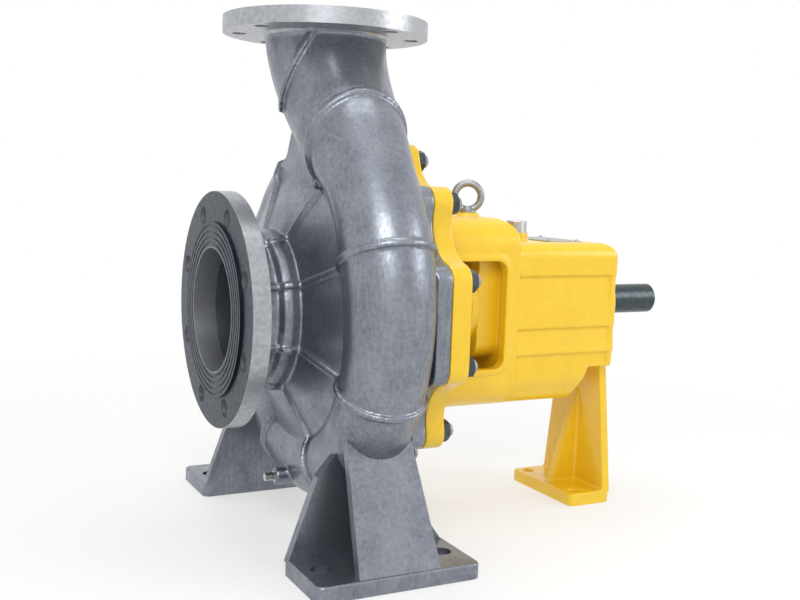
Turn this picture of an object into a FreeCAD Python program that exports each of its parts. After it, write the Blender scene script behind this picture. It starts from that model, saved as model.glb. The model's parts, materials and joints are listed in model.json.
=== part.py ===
import FreeCAD, Part
import math
import os
import re
import Sketcher
from FreeCAD import Placement, Rotation, Vector

# Horizontal end-suction process pump, back-pull-out type, size class 150-125-315.
# Millimetres. The origin is on the ground straight below the crossing of the shaft axis and
# the discharge axis. +X runs from the suction flange to the drive end, +Z is up.

doc = FreeCAD.newDocument("process_pump")
sheet = doc.addObject("Spreadsheet::Sheet", "Sizes")

SIZES = [
    # main dimensions of the size class
    ("shaft_height", 280, "shaft axis above the ground"),
    ("suction_reach", 140, "discharge axis to suction face"),
    ("discharge_height", 355, "shaft axis to discharge face"),
    ("drive_reach", 530, "discharge axis to end of shaft"),
    ("foot_bolts_along", 150, "casing foot holes, along the shaft"),
    ("foot_bolts_across", 400, "casing foot holes, across the shaft"),
    ("foot_long", 200, "casing foot, along the shaft"),
    ("foot_span", 500, "over both casing feet"),
    ("foot_wide", 100, "one casing foot, across the shaft"),
    ("foot_thick", 18, "casing foot plate"),
    ("foot_hole", 24, "casing foot hole diameter"),
    ("foot_web", 12, "casing foot webs"),
    ("support_reach", 370, "discharge axis to support foot holes"),
    ("support_bolts_across", 110, "support foot holes, across the shaft"),
    ("support_hole", 15, "support foot hole diameter"),
    # flanges
    ("suction_flange_dia", 285, "suction flange"),
    ("suction_pcd", 240, "suction bolt circle"),
    ("suction_hole", 22, "suction bolt hole"),
    ("suction_face_dia", 212, "suction raised face"),
    ("suction_bore", 150, "suction bore"),
    ("suction_flange_thick", 24, "suction flange with its raised face"),
    ("discharge_flange_dia", 250, "discharge flange"),
    ("discharge_pcd", 210, "discharge bolt circle"),
    ("discharge_hole", 18, "discharge bolt hole"),
    ("discharge_face_dia", 188, "discharge raised face"),
    ("discharge_bore", 125, "discharge bore"),
    ("discharge_flange_thick", 22, "discharge flange with its raised face"),
    ("flange_bolts", 8, "holes in each pipe flange"),
    ("raised_face", 3, "height of a raised face"),
    ("face_groove_pitch", 7, "pitch of the gasket grooves"),
    ("face_groove_deep", 0.8, "depth of the gasket grooves"),
    # volute casing
    ("neck_radius", 90, "outside of the suction neck"),
    ("band_radius", 97, "bulged band behind the suction neck"),
    ("band_front", 86, "band edge in front of the discharge axis"),
    ("band_back", 61, "other band edge in front of the discharge axis"),
    ("front_wall", 34, "front wall rim in front of the discharge axis"),
    ("drum_radius", 198, "drum of the casing"),
    ("drum_round", 22, "rounding at the front of the drum"),
    ("casing_wall", 8, "wall round the volute channel"),
    ("base_radius", 156, "circle that the volute channel touches"),
    ("channel_end", 46, "channel radius one turn after the tongue"),
    ("tongue_angle", 75, "angle of the tongue above the far side"),
    ("throat_lift", 16, "rise of the throat off the spiral"),
    ("neck_pull_low", 120, "how far the swan neck keeps the spiral's direction"),
    ("neck_pull_high", 230, "how far the swan neck runs straight under its flange"),
    ("neck_wall", 10, "wall of the discharge neck"),
    ("rib_high", 5, "cast ribs above the casing wall"),
    ("rib_wide", 7, "width of a cast rib"),
    ("rib_count", 8, "ribs round the casing"),
    ("collar_turn", 3.3, "turn of the rib that runs over the swan neck"),
    ("nozzle_flare", 7, "flare of both necks behind their flanges"),
    ("suction_split", 60, "end of the suction nozzle before the discharge axis"),
    ("discharge_split", 260, "start of the discharge nozzle above the shaft"),
    ("tongue_half", 45, "half width of the web between swan neck and drum"),
    # impeller and its rings
    ("impeller_nut_dome", 14, "dome of the impeller nut"),
    ("impeller_radius", 157.5, "impeller outside"),
    ("outlet_width", 24, "impeller passage at the rim"),
    ("shroud_thick", 5, "impeller shrouds"),
    ("vane_count", 6, "impeller vanes"),
    ("vane_thick", 5, "impeller vane"),
    ("eye_radius", 66, "impeller eye, inside"),
    ("eye_neck_radius", 78, "impeller neck that runs in the wear ring"),
    ("eye_front", 52, "front of the impeller neck before the discharge axis"),
    ("hub_radius", 30, "impeller hub"),
    ("ring_gap", 0.3, "running gap in a wear ring"),
    ("ring_wall", 7, "wear ring wall"),
    ("ring_width", 20, "wear ring width"),
    # joint between the casing, its cover and the bracket
    ("joint_face", 75, "casing joint face behind the discharge axis"),
    ("gasket_thick", 1, "casing gasket"),
    ("cover_flange", 14, "thickness of the cover's rim, which lies inside the casing"),
    ("bracket_flange", 25, "bracket flange thickness"),
    ("stud_deep", 18, "depth of a joint stud in the casing"),
    ("stud_proud", 6, "end of a joint stud beyond its nut"),
    ("joint_bolts", 12, "studs round the joint"),
    ("joint_pcd", 386, "stud circle of the joint"),
    ("lobe_radius", 20, "lobe round each stud"),
    ("lobe_dip", 185, "outline between two lobes"),
    ("stud_radius", 8, "joint stud"),
    ("nut_flat", 24, "joint nut across flats"),
    ("nut_high", 13, "joint nut height"),
    ("stud_play", 0.7, "play of a joint stud in its hole"),
    ("cover_bore", 172, "casing bore that takes the cover's rim"),
    ("cover_inner", 161, "casing bore that takes the cover's spigot"),
    ("spigot_radius", 150, "register between cover and bracket"),
    ("fit_gap", 0.05, "play of a fitted register"),
    # shaft seal
    ("cover_face", 24, "inside face of the cover behind the discharge axis"),
    ("cover_wall", 16, "cover disc"),
    ("chamber_radius", 42, "seal chamber bore"),
    ("chamber_wall", 20, "seal chamber wall"),
    ("chamber_end", 98, "seal chamber face behind the discharge axis"),
    ("sleeve_radius", 25, "shaft sleeve"),
    ("gland_thick", 14, "gland plate"),
    ("gland_pcd", 104, "gland stud circle"),
    ("gland_stud_radius", 5, "gland stud"),
    ("gland_stud_deep", 18, "depth of a gland stud in the cover"),
    ("gland_stud_proud", 14, "gland stud beyond its plate"),
    ("gland_nut_flat", 16, "gland nut across flats"),
    ("gland_nut_high", 8, "its height"),
    ("spring_wire", 1.3, "seal spring, wire radius"),
    ("spring_turns", 4, "turns of the seal spring"),
    ("seal_gap", 0.3, "play between seal pieces and their neighbours"),
    # bracket
    ("lantern_back", 248, "step from lantern to bearing frame"),
    ("lantern_half", 81, "lantern, half width"),
    ("lantern_top", 118, "lantern top above the shaft"),
    ("lantern_round", 40, "lantern corner radius"),
    ("lantern_shoulder", 28, "rounding where the lantern's top meets its rear"),
    ("lantern_wall", 13, "lantern wall"),
    ("lantern_rear", 17, "lantern rear wall"),
    ("window_front", 120, "window edge behind the discharge axis"),
    ("window_back", 226, "other window edge"),
    ("window_half", 70, "window half height"),
    ("window_low", 7, "window centre below the shaft"),
    ("window_round", 13, "window corner radius"),
    ("window_rim", 7, "width of the raised rim round a window"),
    ("window_rim_high", 2.5, "height of that rim"),
    ("nose_front", 198, "front of the bearing nose inside the lantern"),
    ("nose_half", 60, "bearing nose, half width"),
    ("nose_low", 68, "bearing nose below the shaft"),
    ("frame_end", 409, "end face of the bearing frame"),
    ("frame_half", 78, "bearing frame, half width"),
    ("frame_top", 86, "bearing frame top above the shaft"),
    ("frame_bottom", 131, "bearing frame bottom below the shaft"),
    ("frame_round", 20, "rounding of the top edges of the bearing frame"),
    ("frame_step", 5.5, "steps on the side of the bearing frame"),
    ("frame_border", 8, "plain border at the end of the bearing frame"),
    ("band_one", 43, "first step on the side, above the shaft"),
    ("band_two", 27, "second step on the side, below the shaft"),
    ("band_three", 62, "third step on the side, below the shaft"),
    ("band_drop", 2, "height of one step"),
    ("frame_wall", 12, "bearing frame wall"),
    ("sump_foot", 350, "foot of the sloping end of the oil sump"),
    ("ledge_start", 371, "where that slope meets the ledge at the drive end"),
    ("ledge_low", 84, "ledge below the shaft"),
    ("housing_bore", 100, "bearing bores in the frame"),
    # shaft and bearings
    ("shaft_end_dia", 42, "coupling end of the shaft"),
    ("shaft_end_long", 110, "its length"),
    ("shaft_end_bevel", 2.5, "bevel at its end"),
    ("lip_seat", 22, "shaft radius under the outboard lip seal"),
    ("bearing_bore", 45, "bearing seats on the shaft"),
    ("shaft_middle", 27.5, "shaft radius between the bearings"),
    ("impeller_seat", 17, "shaft radius in the impeller"),
    ("sleeve_seat", 19, "shaft radius in the sleeve"),
    ("sleeve_long", 124, "length of the shaft sleeve"),
    ("nut_thread", 12, "shaft radius in the impeller nut"),
    ("hub_front", 18, "front of the impeller hub before the discharge axis"),
    ("hub_back", 23, "rear of the impeller hub behind it"),
    ("thread_long", 22, "threaded end of the shaft"),
    ("inboard_start", 212, "inboard bearing"),
    ("inboard_wide", 25, "inboard bearing width"),
    ("outboard_start", 352, "outboard bearing"),
    ("outboard_wide", 40, "outboard bearing width"),
    ("ball_radius", 8.5, "bearing balls"),
    ("ball_gap", 0.3, "play of the balls"),
    ("ball_count", 9, "balls in one row"),
    ("shoulder_share", 0.62, "race shoulder as a share of the ball radius"),
    ("cage_half", 3, "half thickness of a cage"),
    ("inboard_cover_radius", 62, "inboard bearing cover flange"),
    ("outboard_cover_radius", 66, "outboard bearing cover flange"),
    ("cover_plate", 11, "bearing cover flange thickness"),
    ("cover_lip", 7, "wall of a bearing cover's spigot"),
    ("cover_pcd", 112, "bearing cover screw circle"),
    ("cover_screws", 6, "screws in a bearing cover"),
    ("screw_radius", 3, "bearing cover screw"),
    ("screw_flat", 10, "its head across flats"),
    ("screw_head", 4, "its head height"),
    ("screw_long", 24, "its length under the head"),
    ("lock_nut_wide", 8, "bearing lock nut"),
    ("lock_nut_wall", 12, "its wall"),
    ("lock_washer_thick", 1.5, "lock washer under it"),
    ("lip_seal_wide", 7, "lip seal"),
    ("lip_seal_radius", 31, "lip seal outside"),
    ("lip_seal_wall", 3, "lip seal shell"),
    ("deflector_gap", 2.5, "deflector in front of the inboard cover"),
    ("deflector_wide", 10, "deflector hub length"),
    ("key_wide", 12, "coupling key"),
    ("key_high", 8, "height of both keys"),
    ("key_deep", 5, "keyway depth"),
    ("key_long", 90, "coupling key length"),
    ("key_inset", 8, "coupling key from the end of the shaft"),
    ("key_turn", 22.5, "turn of the coupling keyway above the far side"),
    ("hub_key_wide", 10, "impeller key"),
    ("hub_key_long", 30, "impeller key length"),
    # support foot
    ("support_front", 353, "support plate edge"),
    ("support_half", 72, "support plate half width"),
    ("support_thick", 17, "support plate"),
    ("support_web", 13, "support webs"),
    ("support_top", 63, "top of the support web below the shaft"),
    ("support_top_half", 46, "support web half width at its top"),
    ("support_rib_top", 150, "top of the support rib above the ground"),
    ("support_rib_edge", 367, "foot of the support rib's leaning edge"),
    ("support_bolt_out", 34, "support bolts beside the shaft"),
    ("support_bolt_low", 73, "support bolts below the shaft"),
    ("support_bolt_radius", 5, "support bolts"),
    ("support_bolt_long", 36, "length under the head"),
    ("support_bolt_flat", 16, "head across flats"),
    ("support_bolt_head", 6.5, "head height"),
    # fittings on the bracket
    ("eye_place", 212, "eyebolt behind the discharge axis"),
    ("eye_boss", 16, "radius of its boss"),
    ("eye_boss_high", 4, "height of its boss"),
    ("eye_ring", 17.6, "eyebolt ring, centre line radius"),
    ("eye_wire", 4.8, "eyebolt ring, half thickness"),
    ("eye_collar", 12, "eyebolt collar"),
    ("eye_collar_high", 4, "its height"),
    ("eye_neck", 7, "height of the neck over the collar"),
    ("eye_stem", 5, "eyebolt thread radius"),
    ("eye_turn", -28, "eyebolt ring turned about its stem"),
    ("cap_place", 292, "filler cap behind the discharge axis"),
    ("cap_radius", 14, "filler cap"),
    ("cap_high", 16, "filler cap height"),
    ("cap_plug", 8, "plug radius under the cap"),
    ("cap_plug_long", 14, "plug length under the cap"),
    ("cap_boss_high", 10, "height of the boss under the cap"),
    ("sight_radius", 20, "oil sight glass bezel"),
    ("sight_wall", 6, "wall of its tube"),
    ("sight_place", 300, "oil sight glass behind the discharge axis"),
    ("sight_low", 45, "oil sight glass below the shaft"),
    ("oil_drain_place", 296, "oil drain plug behind the discharge axis"),
    ("oil_drain_low", 84, "oil drain plug below the shaft, on the far side"),
    ("oil_drain_boss", 4, "height of its boss"),
    ("plate_start", 312, "bare plate on top"),
    ("plate_long", 56, "bare plate length"),
    ("plate_wide", 96, "bare plate width"),
    ("plate_thick", 1.2, "bare plate thickness"),
    # plugs in the casing
    ("drain_low", 210, "casing drain below the shaft"),
    ("drain_out", 12, "casing drain beside the shaft, on the near side"),
    ("drain_face", 60, "face of the casing drain boss before the discharge axis"),
    ("drain_boss", 11, "radius of the casing drain boss"),
    ("casing_plug_flat", 9, "casing drain plug, across flats"),
    ("casing_plug_head", 13, "its head"),
    ("drain_thread", 7, "radius of both drain threads"),
    ("oil_plug_flat", 19, "oil drain plug, across flats"),
    ("oil_plug_head", 9, "its head"),
    ("plug_long", 12, "length of both drain plugs in their bosses"),
]
for row, (alias, number, note) in enumerate(SIZES, start=1):
    sheet.set(f"A{row}", note)
    sheet.set(f"B{row}", str(number))
    sheet.setAlias(f"B{row}", alias)
doc.recompute()
ALIASES = [alias for alias, number, note in SIZES]
NODES = []


def size(alias):
    return float(getattr(sheet, alias))


def linked(text):
    """Turn an expression in plain aliases into one that names the sheet."""
    return re.sub(r"[a-z][a-z_]+[a-z]", lambda hit: "Sizes." + hit.group(0) if hit.group(0) in ALIASES
                  else hit.group(0), str(text))


def number_of(text):
    return float(sheet.evalExpression(linked(text)))


def bind(thing, prop, text):
    thing.setExpression(prop, linked(text))


def node(thing, label):
    """Mark a finished sub-part: its label names its file."""
    thing.Label = label
    NODES.append(thing)
    return thing


def new_body(label, on_shaft=True):
    body = doc.addObject("PartDesign::Body", "Body_" + label)
    if on_shaft:
        bind(body, "Placement.Base.z", "shaft_height")
    return body


def origin_plane(body, role):
    return [part for part in body.Origin.OriginFeatures if part.Role == role][0]


def polygon_sketch(body, name, role, corners):
    """A closed outline. Each corner is a pair of expressions in the sketch's own axes."""
    sketch = body.newObject("Sketcher::SketchObject", name)
    sketch.AttachmentSupport = [(origin_plane(body, role), "")]
    sketch.MapMode = "FlatFace"
    spots = [Vector(number_of(across), number_of(up), 0) for across, up in corners]
    count = len(spots)
    for i in range(count):
        sketch.addGeometry(Part.LineSegment(spots[i], spots[(i + 1) % count]), False)
    for i in range(count):
        sketch.addConstraint(Sketcher.Constraint("Coincident", i, 2, (i + 1) % count, 1))
    for i, (across, up) in enumerate(corners):
        for kind, text, reading in (("DistanceX", across, spots[i].x), ("DistanceY", up, spots[i].y)):
            index = sketch.addConstraint(Sketcher.Constraint(kind, -1, 1, i, 1, reading))
            bind(sketch, f"Constraints[{index}]", text)
    return sketch


def circle_sketch(body, name, role, across, up, radius):
    sketch = body.newObject("Sketcher::SketchObject", name)
    sketch.AttachmentSupport = [(origin_plane(body, role), "")]
    sketch.MapMode = "FlatFace"
    middle = Vector(number_of(across), number_of(up), 0)
    sketch.addGeometry(Part.Circle(middle, Vector(0, 0, 1), number_of(radius)), False)
    for kind, text, reading in (("DistanceX", across, middle.x), ("DistanceY", up, middle.y)):
        index = sketch.addConstraint(Sketcher.Constraint(kind, -1, 1, 0, 3, reading))
        bind(sketch, f"Constraints[{index}]", text)
    index = sketch.addConstraint(Sketcher.Constraint("Radius", 0, number_of(radius)))
    bind(sketch, f"Constraints[{index}]", radius)
    return sketch


def turned(label, corners, on_shaft=True):
    """A body turned about the shaft axis. Corners are (along the shaft, radius)."""
    body = new_body(label, on_shaft)
    sketch = polygon_sketch(body, "Profile_" + label, "XZ_Plane", corners)
    turn = body.newObject("PartDesign::Revolution", "Turn_" + label)
    turn.Profile = sketch
    turn.ReferenceAxis = (sketch, ["H_Axis"])
    turn.Angle = 360
    sketch.Visibility = False
    doc.recompute()
    return body


def drilled(body, name, start, long, pcd, hole, count, first_angle=0):
    """Holes parallel to the shaft on a circle, cut from the plane x = start over a length."""
    across = f"({pcd}) / 2 * cos({first_angle})"
    up = f"({pcd}) / 2 * sin({first_angle})"
    sketch = circle_sketch(body, "Hole_" + name, "YZ_Plane", across, up, hole)
    bind(sketch, "AttachmentOffset.Base.z", start)
    pocket = body.newObject("PartDesign::Pocket", "Drill_" + name)
    pocket.Profile = sketch
    pocket.Type = "Length"
    bind(pocket, "Length", long)
    pocket.Reversed = True
    sketch.Visibility = False
    doc.recompute()
    pattern = body.newObject("PartDesign::PolarPattern", "Round_" + name)
    pattern.Originals = [pocket]
    pattern.Axis = (origin_plane(body, "X_Axis"), [""])
    pattern.Angle = 360
    bind(pattern, "Occurrences", count)
    body.Tip = pattern
    doc.recompute()


def raw(name, shape):
    """A helper shape made with Part's own functions from sizes in the sheet."""
    thing = doc.addObject("Part::Feature", name)
    thing.Shape = shape
    return thing


def fused(name, things):
    joined = doc.addObject("Part::MultiFuse", name)
    joined.Shapes = things
    joined.Refine = False
    return joined


def cut(name, base, tool):
    remains = doc.addObject("Part::Cut", name)
    remains.Base = base
    remains.Tool = tool
    remains.Refine = False
    return remains


def shared(name, base, tool):
    common = doc.addObject("Part::Common", name)
    common.Base = base
    common.Tool = tool
    common.Refine = False
    return common


def box(name, low, high):
    """A box between two corners, each a triple of expressions."""
    block = doc.addObject("Part::Box", name)
    for prop, k in (("Length", 0), ("Width", 1), ("Height", 2)):
        bind(block, prop, f"({high[k]}) - ({low[k]})")
    for prop, k in (("x", 0), ("y", 1), ("z", 2)):
        bind(block, "Placement.Base." + prop, low[k])
    return block


def rod(name, radius, long, foot, toward):
    """A cylinder from a foot point, with its axis toward X, Y or Z."""
    bar = doc.addObject("Part::Cylinder", name)
    bind(bar, "Radius", radius)
    bind(bar, "Height", long)
    turn = {"X": Rotation(Vector(0, 1, 0), 90), "Y": Rotation(Vector(1, 0, 0), -90), "Z": Rotation()}
    bar.Placement = Placement(Vector(0, 0, 0), turn[toward])
    for prop, k in (("x", 0), ("y", 1), ("z", 2)):
        bind(bar, "Placement.Base." + prop, foot[k])
    return bar


def round_spots(pcd, count, first_angle):
    """Points on a circle round the shaft axis."""
    spots = []
    for k in range(int(count)):
        angle = math.radians(first_angle + 360.0 * k / count)
        spots.append(Vector(0, pcd / 2 * math.cos(angle), size("shaft_height") + pcd / 2 * math.sin(angle)))
    return spots


ON_X = Rotation(Vector(0, 1, 0), 90)
AGAINST_X = Rotation(Vector(0, 1, 0), -90)
COVER_TURN = 30
WIDE = 150


def hexagon(flat, high):
    """A hexagonal prism about Z with its corners cut at 30 degrees on top, as a nut or head has."""
    corner = flat / math.sqrt(3)
    points = [Vector(corner * math.cos(math.radians(60 * k)), corner * math.sin(math.radians(60 * k)), 0)
              for k in range(7)]
    prism = Part.Face(Part.makePolygon(points)).extrude(Vector(0, 0, high))
    slope = (corner - flat / 2) * math.tan(math.radians(30))
    top = Part.makeCone(corner, flat / 2 * 0.96, slope + 0.4, Vector(0, 0, high - slope - 0.4))
    column = Part.makeCylinder(corner, high - slope - 0.4)
    return prism.common(column.fuse(top))


def repeated(name, shape, places):
    """A group of equal pieces in one node."""
    group = doc.addObject("Part::Feature", "Group_" + name)
    copies = []
    for place in places:
        one = shape.copy()
        one.Placement = place.multiply(one.Placement)
        copies.append(one)
    group.Shape = Part.makeCompound(copies)
    return node(group, name)


# volute casing

def channel_radius(turned_angle):
    """The channel grows fast behind the tongue and then ever more slowly."""
    return size("channel_end") * (turned_angle / 322.0) ** (1.0 / 3.0)


def spiral_stations(extra):
    """Circular sections of the volute: centre, direction of flow and radius, extra wide."""
    stations = []
    for turned_angle in (12, 30, 55, 85, 120, 155, 190, 225, 255, 285, 307):
        angle = math.radians(size("tongue_angle") - turned_angle)
        inside = channel_radius(turned_angle)
        lift = size("throat_lift") * (max(0.0, turned_angle - 265) / 45.0) ** 2
        reach = size("base_radius") + inside + lift
        centre = Vector(0, reach * math.cos(angle), size("shaft_height") + reach * math.sin(angle))
        flow = Vector(0, math.sin(angle), -math.cos(angle))
        stations.append((centre, flow, inside + extra))
    return stations


def neck_stations(extra_low, extra_high):
    """Circular sections of the swan neck, on a cubic from the spiral up to the discharge flange."""
    start, leave, inside = spiral_stations(0)[-1]
    end = Vector(0, 0, size("shaft_height") + size("discharge_height") - size("discharge_flange_thick") / 2)
    pull_start = (leave + Vector(0, 0, 0.35)).normalize() * size("neck_pull_low")
    pull_end = Vector(0, 0, size("neck_pull_high"))
    stations = []
    for t in (0.2, 0.4, 0.55, 0.7, 0.85, 1.0):
        a = 2 * t ** 3 - 3 * t ** 2 + 1
        b = t ** 3 - 2 * t ** 2 + t
        c = -2 * t ** 3 + 3 * t ** 2
        d = t ** 3 - t ** 2
        centre = start * a + pull_start * b + end * c + pull_end * d
        flow = (start * (6 * t * t - 6 * t) + pull_start * (3 * t * t - 4 * t + 1)
                + end * (6 * t - 6 * t * t) + pull_end * (3 * t * t - 2 * t))
        flow.normalize()
        blend = min(1.0, t / 0.85)
        radius = inside + (size("discharge_bore") / 2 - inside) * blend
        stations.append((centre, flow, radius + extra_low + (extra_high - extra_low) * blend))
    return stations


def skin(stations):
    """A solid lofted through circular sections."""
    wires = []
    for centre, flow, radius in stations:
        side = Vector(1, 0, 0)
        ring = Part.Circle()
        ring.Radius = radius
        edge = ring.toShape()
        edge.Placement = Placement(centre, Rotation(side, flow.cross(side), flow, "ZXY"))
        wires.append(Part.Wire([edge]))
    return Part.makeLoft(wires, True, False)


def volute_solid(extra_low, extra_high):
    return skin(spiral_stations(extra_low) + neck_stations(extra_low, extra_high))


def casing_profile(grow):
    """Outside of the casing about the shaft, from the suction flange to the drum."""
    return [
        ("-suction_reach + suction_flange_thick - 4", "suction_bore / 2 - 6"),
        ("-suction_reach + suction_flange_thick - 4", f"neck_radius + nozzle_flare + 4 + {grow}"),
        ("-suction_reach + suction_flange_thick + nozzle_flare", f"neck_radius + {grow}"),
        ("-band_front - 2", f"neck_radius + {grow}"),
        ("-band_front + 4", f"band_radius - 1 + {grow}"),
        ("-(band_front + band_back) / 2", f"band_radius + 1 + {grow}"),
        (f"-band_back - 1 - {grow} / 4", f"band_radius + {grow}"),
        (f"-front_wall - {grow}", f"drum_radius - drum_round * 1.5 + {grow} / 3"),
        (f"-front_wall - {grow}", f"drum_radius - drum_round + {grow} / 3"),
        (f"-front_wall + drum_round * 0.3 - {grow} * 0.7", f"drum_radius - drum_round * 0.3 + {grow} * 0.7"),
        ("-front_wall + drum_round", f"drum_radius + {grow}"),
        ("joint_face - 18", f"drum_radius + {grow}"),
        ("joint_face - 18", "suction_bore / 2 - 6"),
    ]


def lobed_plate(start, thick):
    """The joint outline: round lobes at the studs, hollow arcs between them and four flats."""
    count = int(size("joint_bolts"))
    pitch = 360.0 / count
    ring = size("joint_pcd") / 2
    lobe = size("lobe_radius")
    dip = size("lobe_dip")
    half = math.radians(pitch / 2)
    hollow_centre = ((dip - lobe) ** 2 - ring ** 2) / (2 * (dip - lobe) - 2 * ring * math.cos(half))

    def at(angle, reach):
        return Vector(0, reach * math.cos(math.radians(angle)), reach * math.sin(math.radians(angle)))

    def leave_point(angle, side):
        """Where the lobe's arc meets its hollow arc on one side, or the flat."""
        centre = at(angle, ring)
        if flat_after(angle if side > 0 else angle - pitch):
            middle = angle + side * pitch / 2
            return centre + at(middle, lobe)
        hollow = at(angle + side * pitch / 2, hollow_centre)
        return centre + (hollow - centre).normalize() * lobe

    def flat_after(angle):
        return round((angle + pitch / 2) % 90, 3) == 0

    edges = []
    for k in range(count):
        angle = pitch / 2 + pitch * k
        first = leave_point(angle, -1)
        last = leave_point(angle, 1)
        edges.append(Part.Arc(first, at(angle, ring + lobe), last).toShape())
        following = leave_point(angle + pitch, -1)
        if flat_after(angle):
            edges.append(Part.LineSegment(last, following).toShape())
        else:
            edges.append(Part.Arc(last, at(angle + pitch / 2, dip), following).toShape())
    plate = Part.Face(Part.Wire(edges)).extrude(Vector(thick, 0, 0))
    plate.translate(Vector(start, 0, size("shaft_height")))
    return plate


def rib_slabs():
    """Thin half planes through the shaft axis, one for each cast rib, inside the casing's reach."""
    slabs = []
    wide = size("rib_wide")
    count = int(size("rib_count"))
    collar = 2
    start = -size("suction_reach") + size("suction_flange_thick")
    inner = size("suction_bore") / 2
    reach = 330
    for k in range(count):
        slab = Part.makeBox(size("discharge_bore") / 2 - start, reach - inner, wide,
                            Vector(start, inner, -wide / 2))
        turn = 180.0 / count + 360.0 * k / count
        if k == collar:
            turn += size("collar_turn")
        slab.rotate(Vector(0, 0, 0), Vector(1, 0, 0), turn)
        slab.translate(Vector(0, 0, size("shaft_height")))
        slabs.append(slab)
    return slabs


def neck_bead(form):
    """The bead that crosses the front of the swan neck under its flange, in one slanting plane."""
    below = Vector(-66.7, -32.2, 536)
    across = Vector(-62.6, -50.6, 568)
    above = Vector(-43, -61.4, 609)
    normal = (across - below).cross(above - below).normalize()
    wide = size("rib_wide")
    slab = Part.makeBox(200, 200, wide, Vector(-100, -100, -wide / 2))
    slab.Placement = Placement(across, Rotation(Vector(0, 0, 1), normal))
    room = Part.makeBox(60, 110, 96, Vector(-95, -90, 518))
    return form.common(slab).common(room)


def tongue_web():
    """The web that fills the notch between the swan neck and the top of the drum."""
    height = size("shaft_height")
    half = size("tongue_half")
    outline = [(-80, 150), (30, 175), (8, 187), (-7, 217), (-80, 225), (-80, 150)]
    points = [Vector(-half, y, height + z) for y, z in outline]
    return Part.Face(Part.makePolygon(points)).extrude(Vector(2 * half, 0, 0))


def casing_foot(side):
    """One welded foot: bored plate, upright web and the leaning outer web. Side is -1 near, +1 far."""
    half = size("foot_span") / 2
    long = size("foot_long")
    thick = size("foot_thick")
    web = size("foot_web")
    inner = half - size("foot_wide")
    plate = Part.makeBox(long, size("foot_wide"), thick, Vector(-long / 2, inner, 0))
    plate = plate.makeFillet(10, [edge for edge in plate.Edges
                                  if abs(edge.Vertexes[0].Z - edge.Vertexes[1].Z) > thick / 2])
    top = [edge for edge in plate.Edges if min(v.Z for v in edge.Vertexes) > thick - 0.01]
    plate = plate.makeFillet(3, top)
    for along in (-1, 1):
        spot = Vector(along * size("foot_bolts_along") / 2, size("foot_bolts_across") / 2, -1)
        plate = plate.cut(Part.makeCylinder(size("foot_hole") / 2, thick + 2, spot))
    low = thick - 4
    shoulder = 109
    top = 150
    corners = [(-long / 2 + 1, low), (-long * 0.325, shoulder), (-30, top), (30, top),
               (long * 0.26, 78), (long / 2 - 1, low), (-long / 2 + 1, low)]
    upright = Part.makePolygon([Vector(x, inner, z) for x, z in corners])
    upright = Part.Face(upright).extrude(Vector(0, web, 0))
    outer = half - 2
    lean_in = outer - 68
    lean_top = 168
    corners = [(-50, outer, low), (50, outer, low), (36, lean_in, lean_top), (-41, lean_in, lean_top),
               (-50, outer, low)]
    lean = Part.makePolygon([Vector(x, y, z) for x, y, z in corners])
    lean = Part.Face(lean).extrude(Vector(0, -web, 0))
    foot = plate.fuse([upright, lean])
    if side < 0:
        foot = foot.mirror(Vector(0, 0, 0), Vector(0, 1, 0))
    return foot


def bored_holes(x, pcd, hole, long, toward):
    """Holes on a bolt circle in a pipe flange, halfway off the axes."""
    height = size("shaft_height")
    count = int(size("flange_bolts"))
    drills = []
    for k in range(count):
        angle = math.radians(180.0 / count + 360.0 * k / count)
        first = pcd / 2 * math.cos(angle)
        second = pcd / 2 * math.sin(angle)
        spot = Vector(x, first, height + second) if toward.x else Vector(first, second, x)
        drills.append(Part.makeCylinder(hole / 2, long, spot, toward))
    return drills


def casing_outside():
    """Everything solid about the casing before it is bored, without its feet."""
    wall = size("casing_wall")
    neck = size("neck_wall")
    rib = size("rib_high")
    outer = [turned("casing_round", casing_profile("0"))]
    ribs_body = turned("casing_rib_form", casing_profile("rib_high"))
    outer.append(raw("volute_wall", volute_solid(wall, neck)))
    rib_form = volute_solid(wall + rib, neck + rib * 0.6)
    doc.recompute()
    grown = ribs_body.Shape.fuse(rib_form)
    ribs = [grown.common(slab) for slab in rib_slabs()]
    ribs.append(neck_bead(volute_solid(wall + rib, neck + rib)))
    outer.append(raw("casing_ribs", Part.makeCompound(ribs)))
    outer.append(raw("tongue_web", tongue_web()))
    outer.append(raw("joint_lobes", lobed_plate(size("joint_face") - 20, 20)))
    outer.append(rod("suction_disc", "suction_flange_dia / 2", "suction_flange_thick - raised_face",
                     ("-suction_reach + raised_face", "0", "shaft_height"), "X"))
    outer.append(rod("suction_face", "suction_face_dia / 2", "raised_face + 1",
                     ("-suction_reach", "0", "shaft_height"), "X"))
    top = "shaft_height + discharge_height"
    outer.append(rod("discharge_disc", "discharge_flange_dia / 2", "discharge_flange_thick - raised_face",
                     ("0", "0", top + " - discharge_flange_thick"), "Z"))
    outer.append(rod("discharge_face", "discharge_face_dia / 2", "raised_face + 1",
                     ("0", "0", top + " - raised_face - 1"), "Z"))
    flare = size("nozzle_flare")
    under = number_of(top) - size("discharge_flange_thick")
    narrow = size("discharge_bore") / 2 + neck
    outer.append(raw("discharge_flare", Part.makeCone(narrow, narrow + flare + 2, flare + 2,
                                                      Vector(0, 0, under - flare))))
    outer.append(rod("casing_drain_boss", "drain_boss", "drain_face",
                     ("-drain_face", "-drain_out", "shaft_height - drain_low"), "X"))
    return fused("casing_outside", outer)


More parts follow.
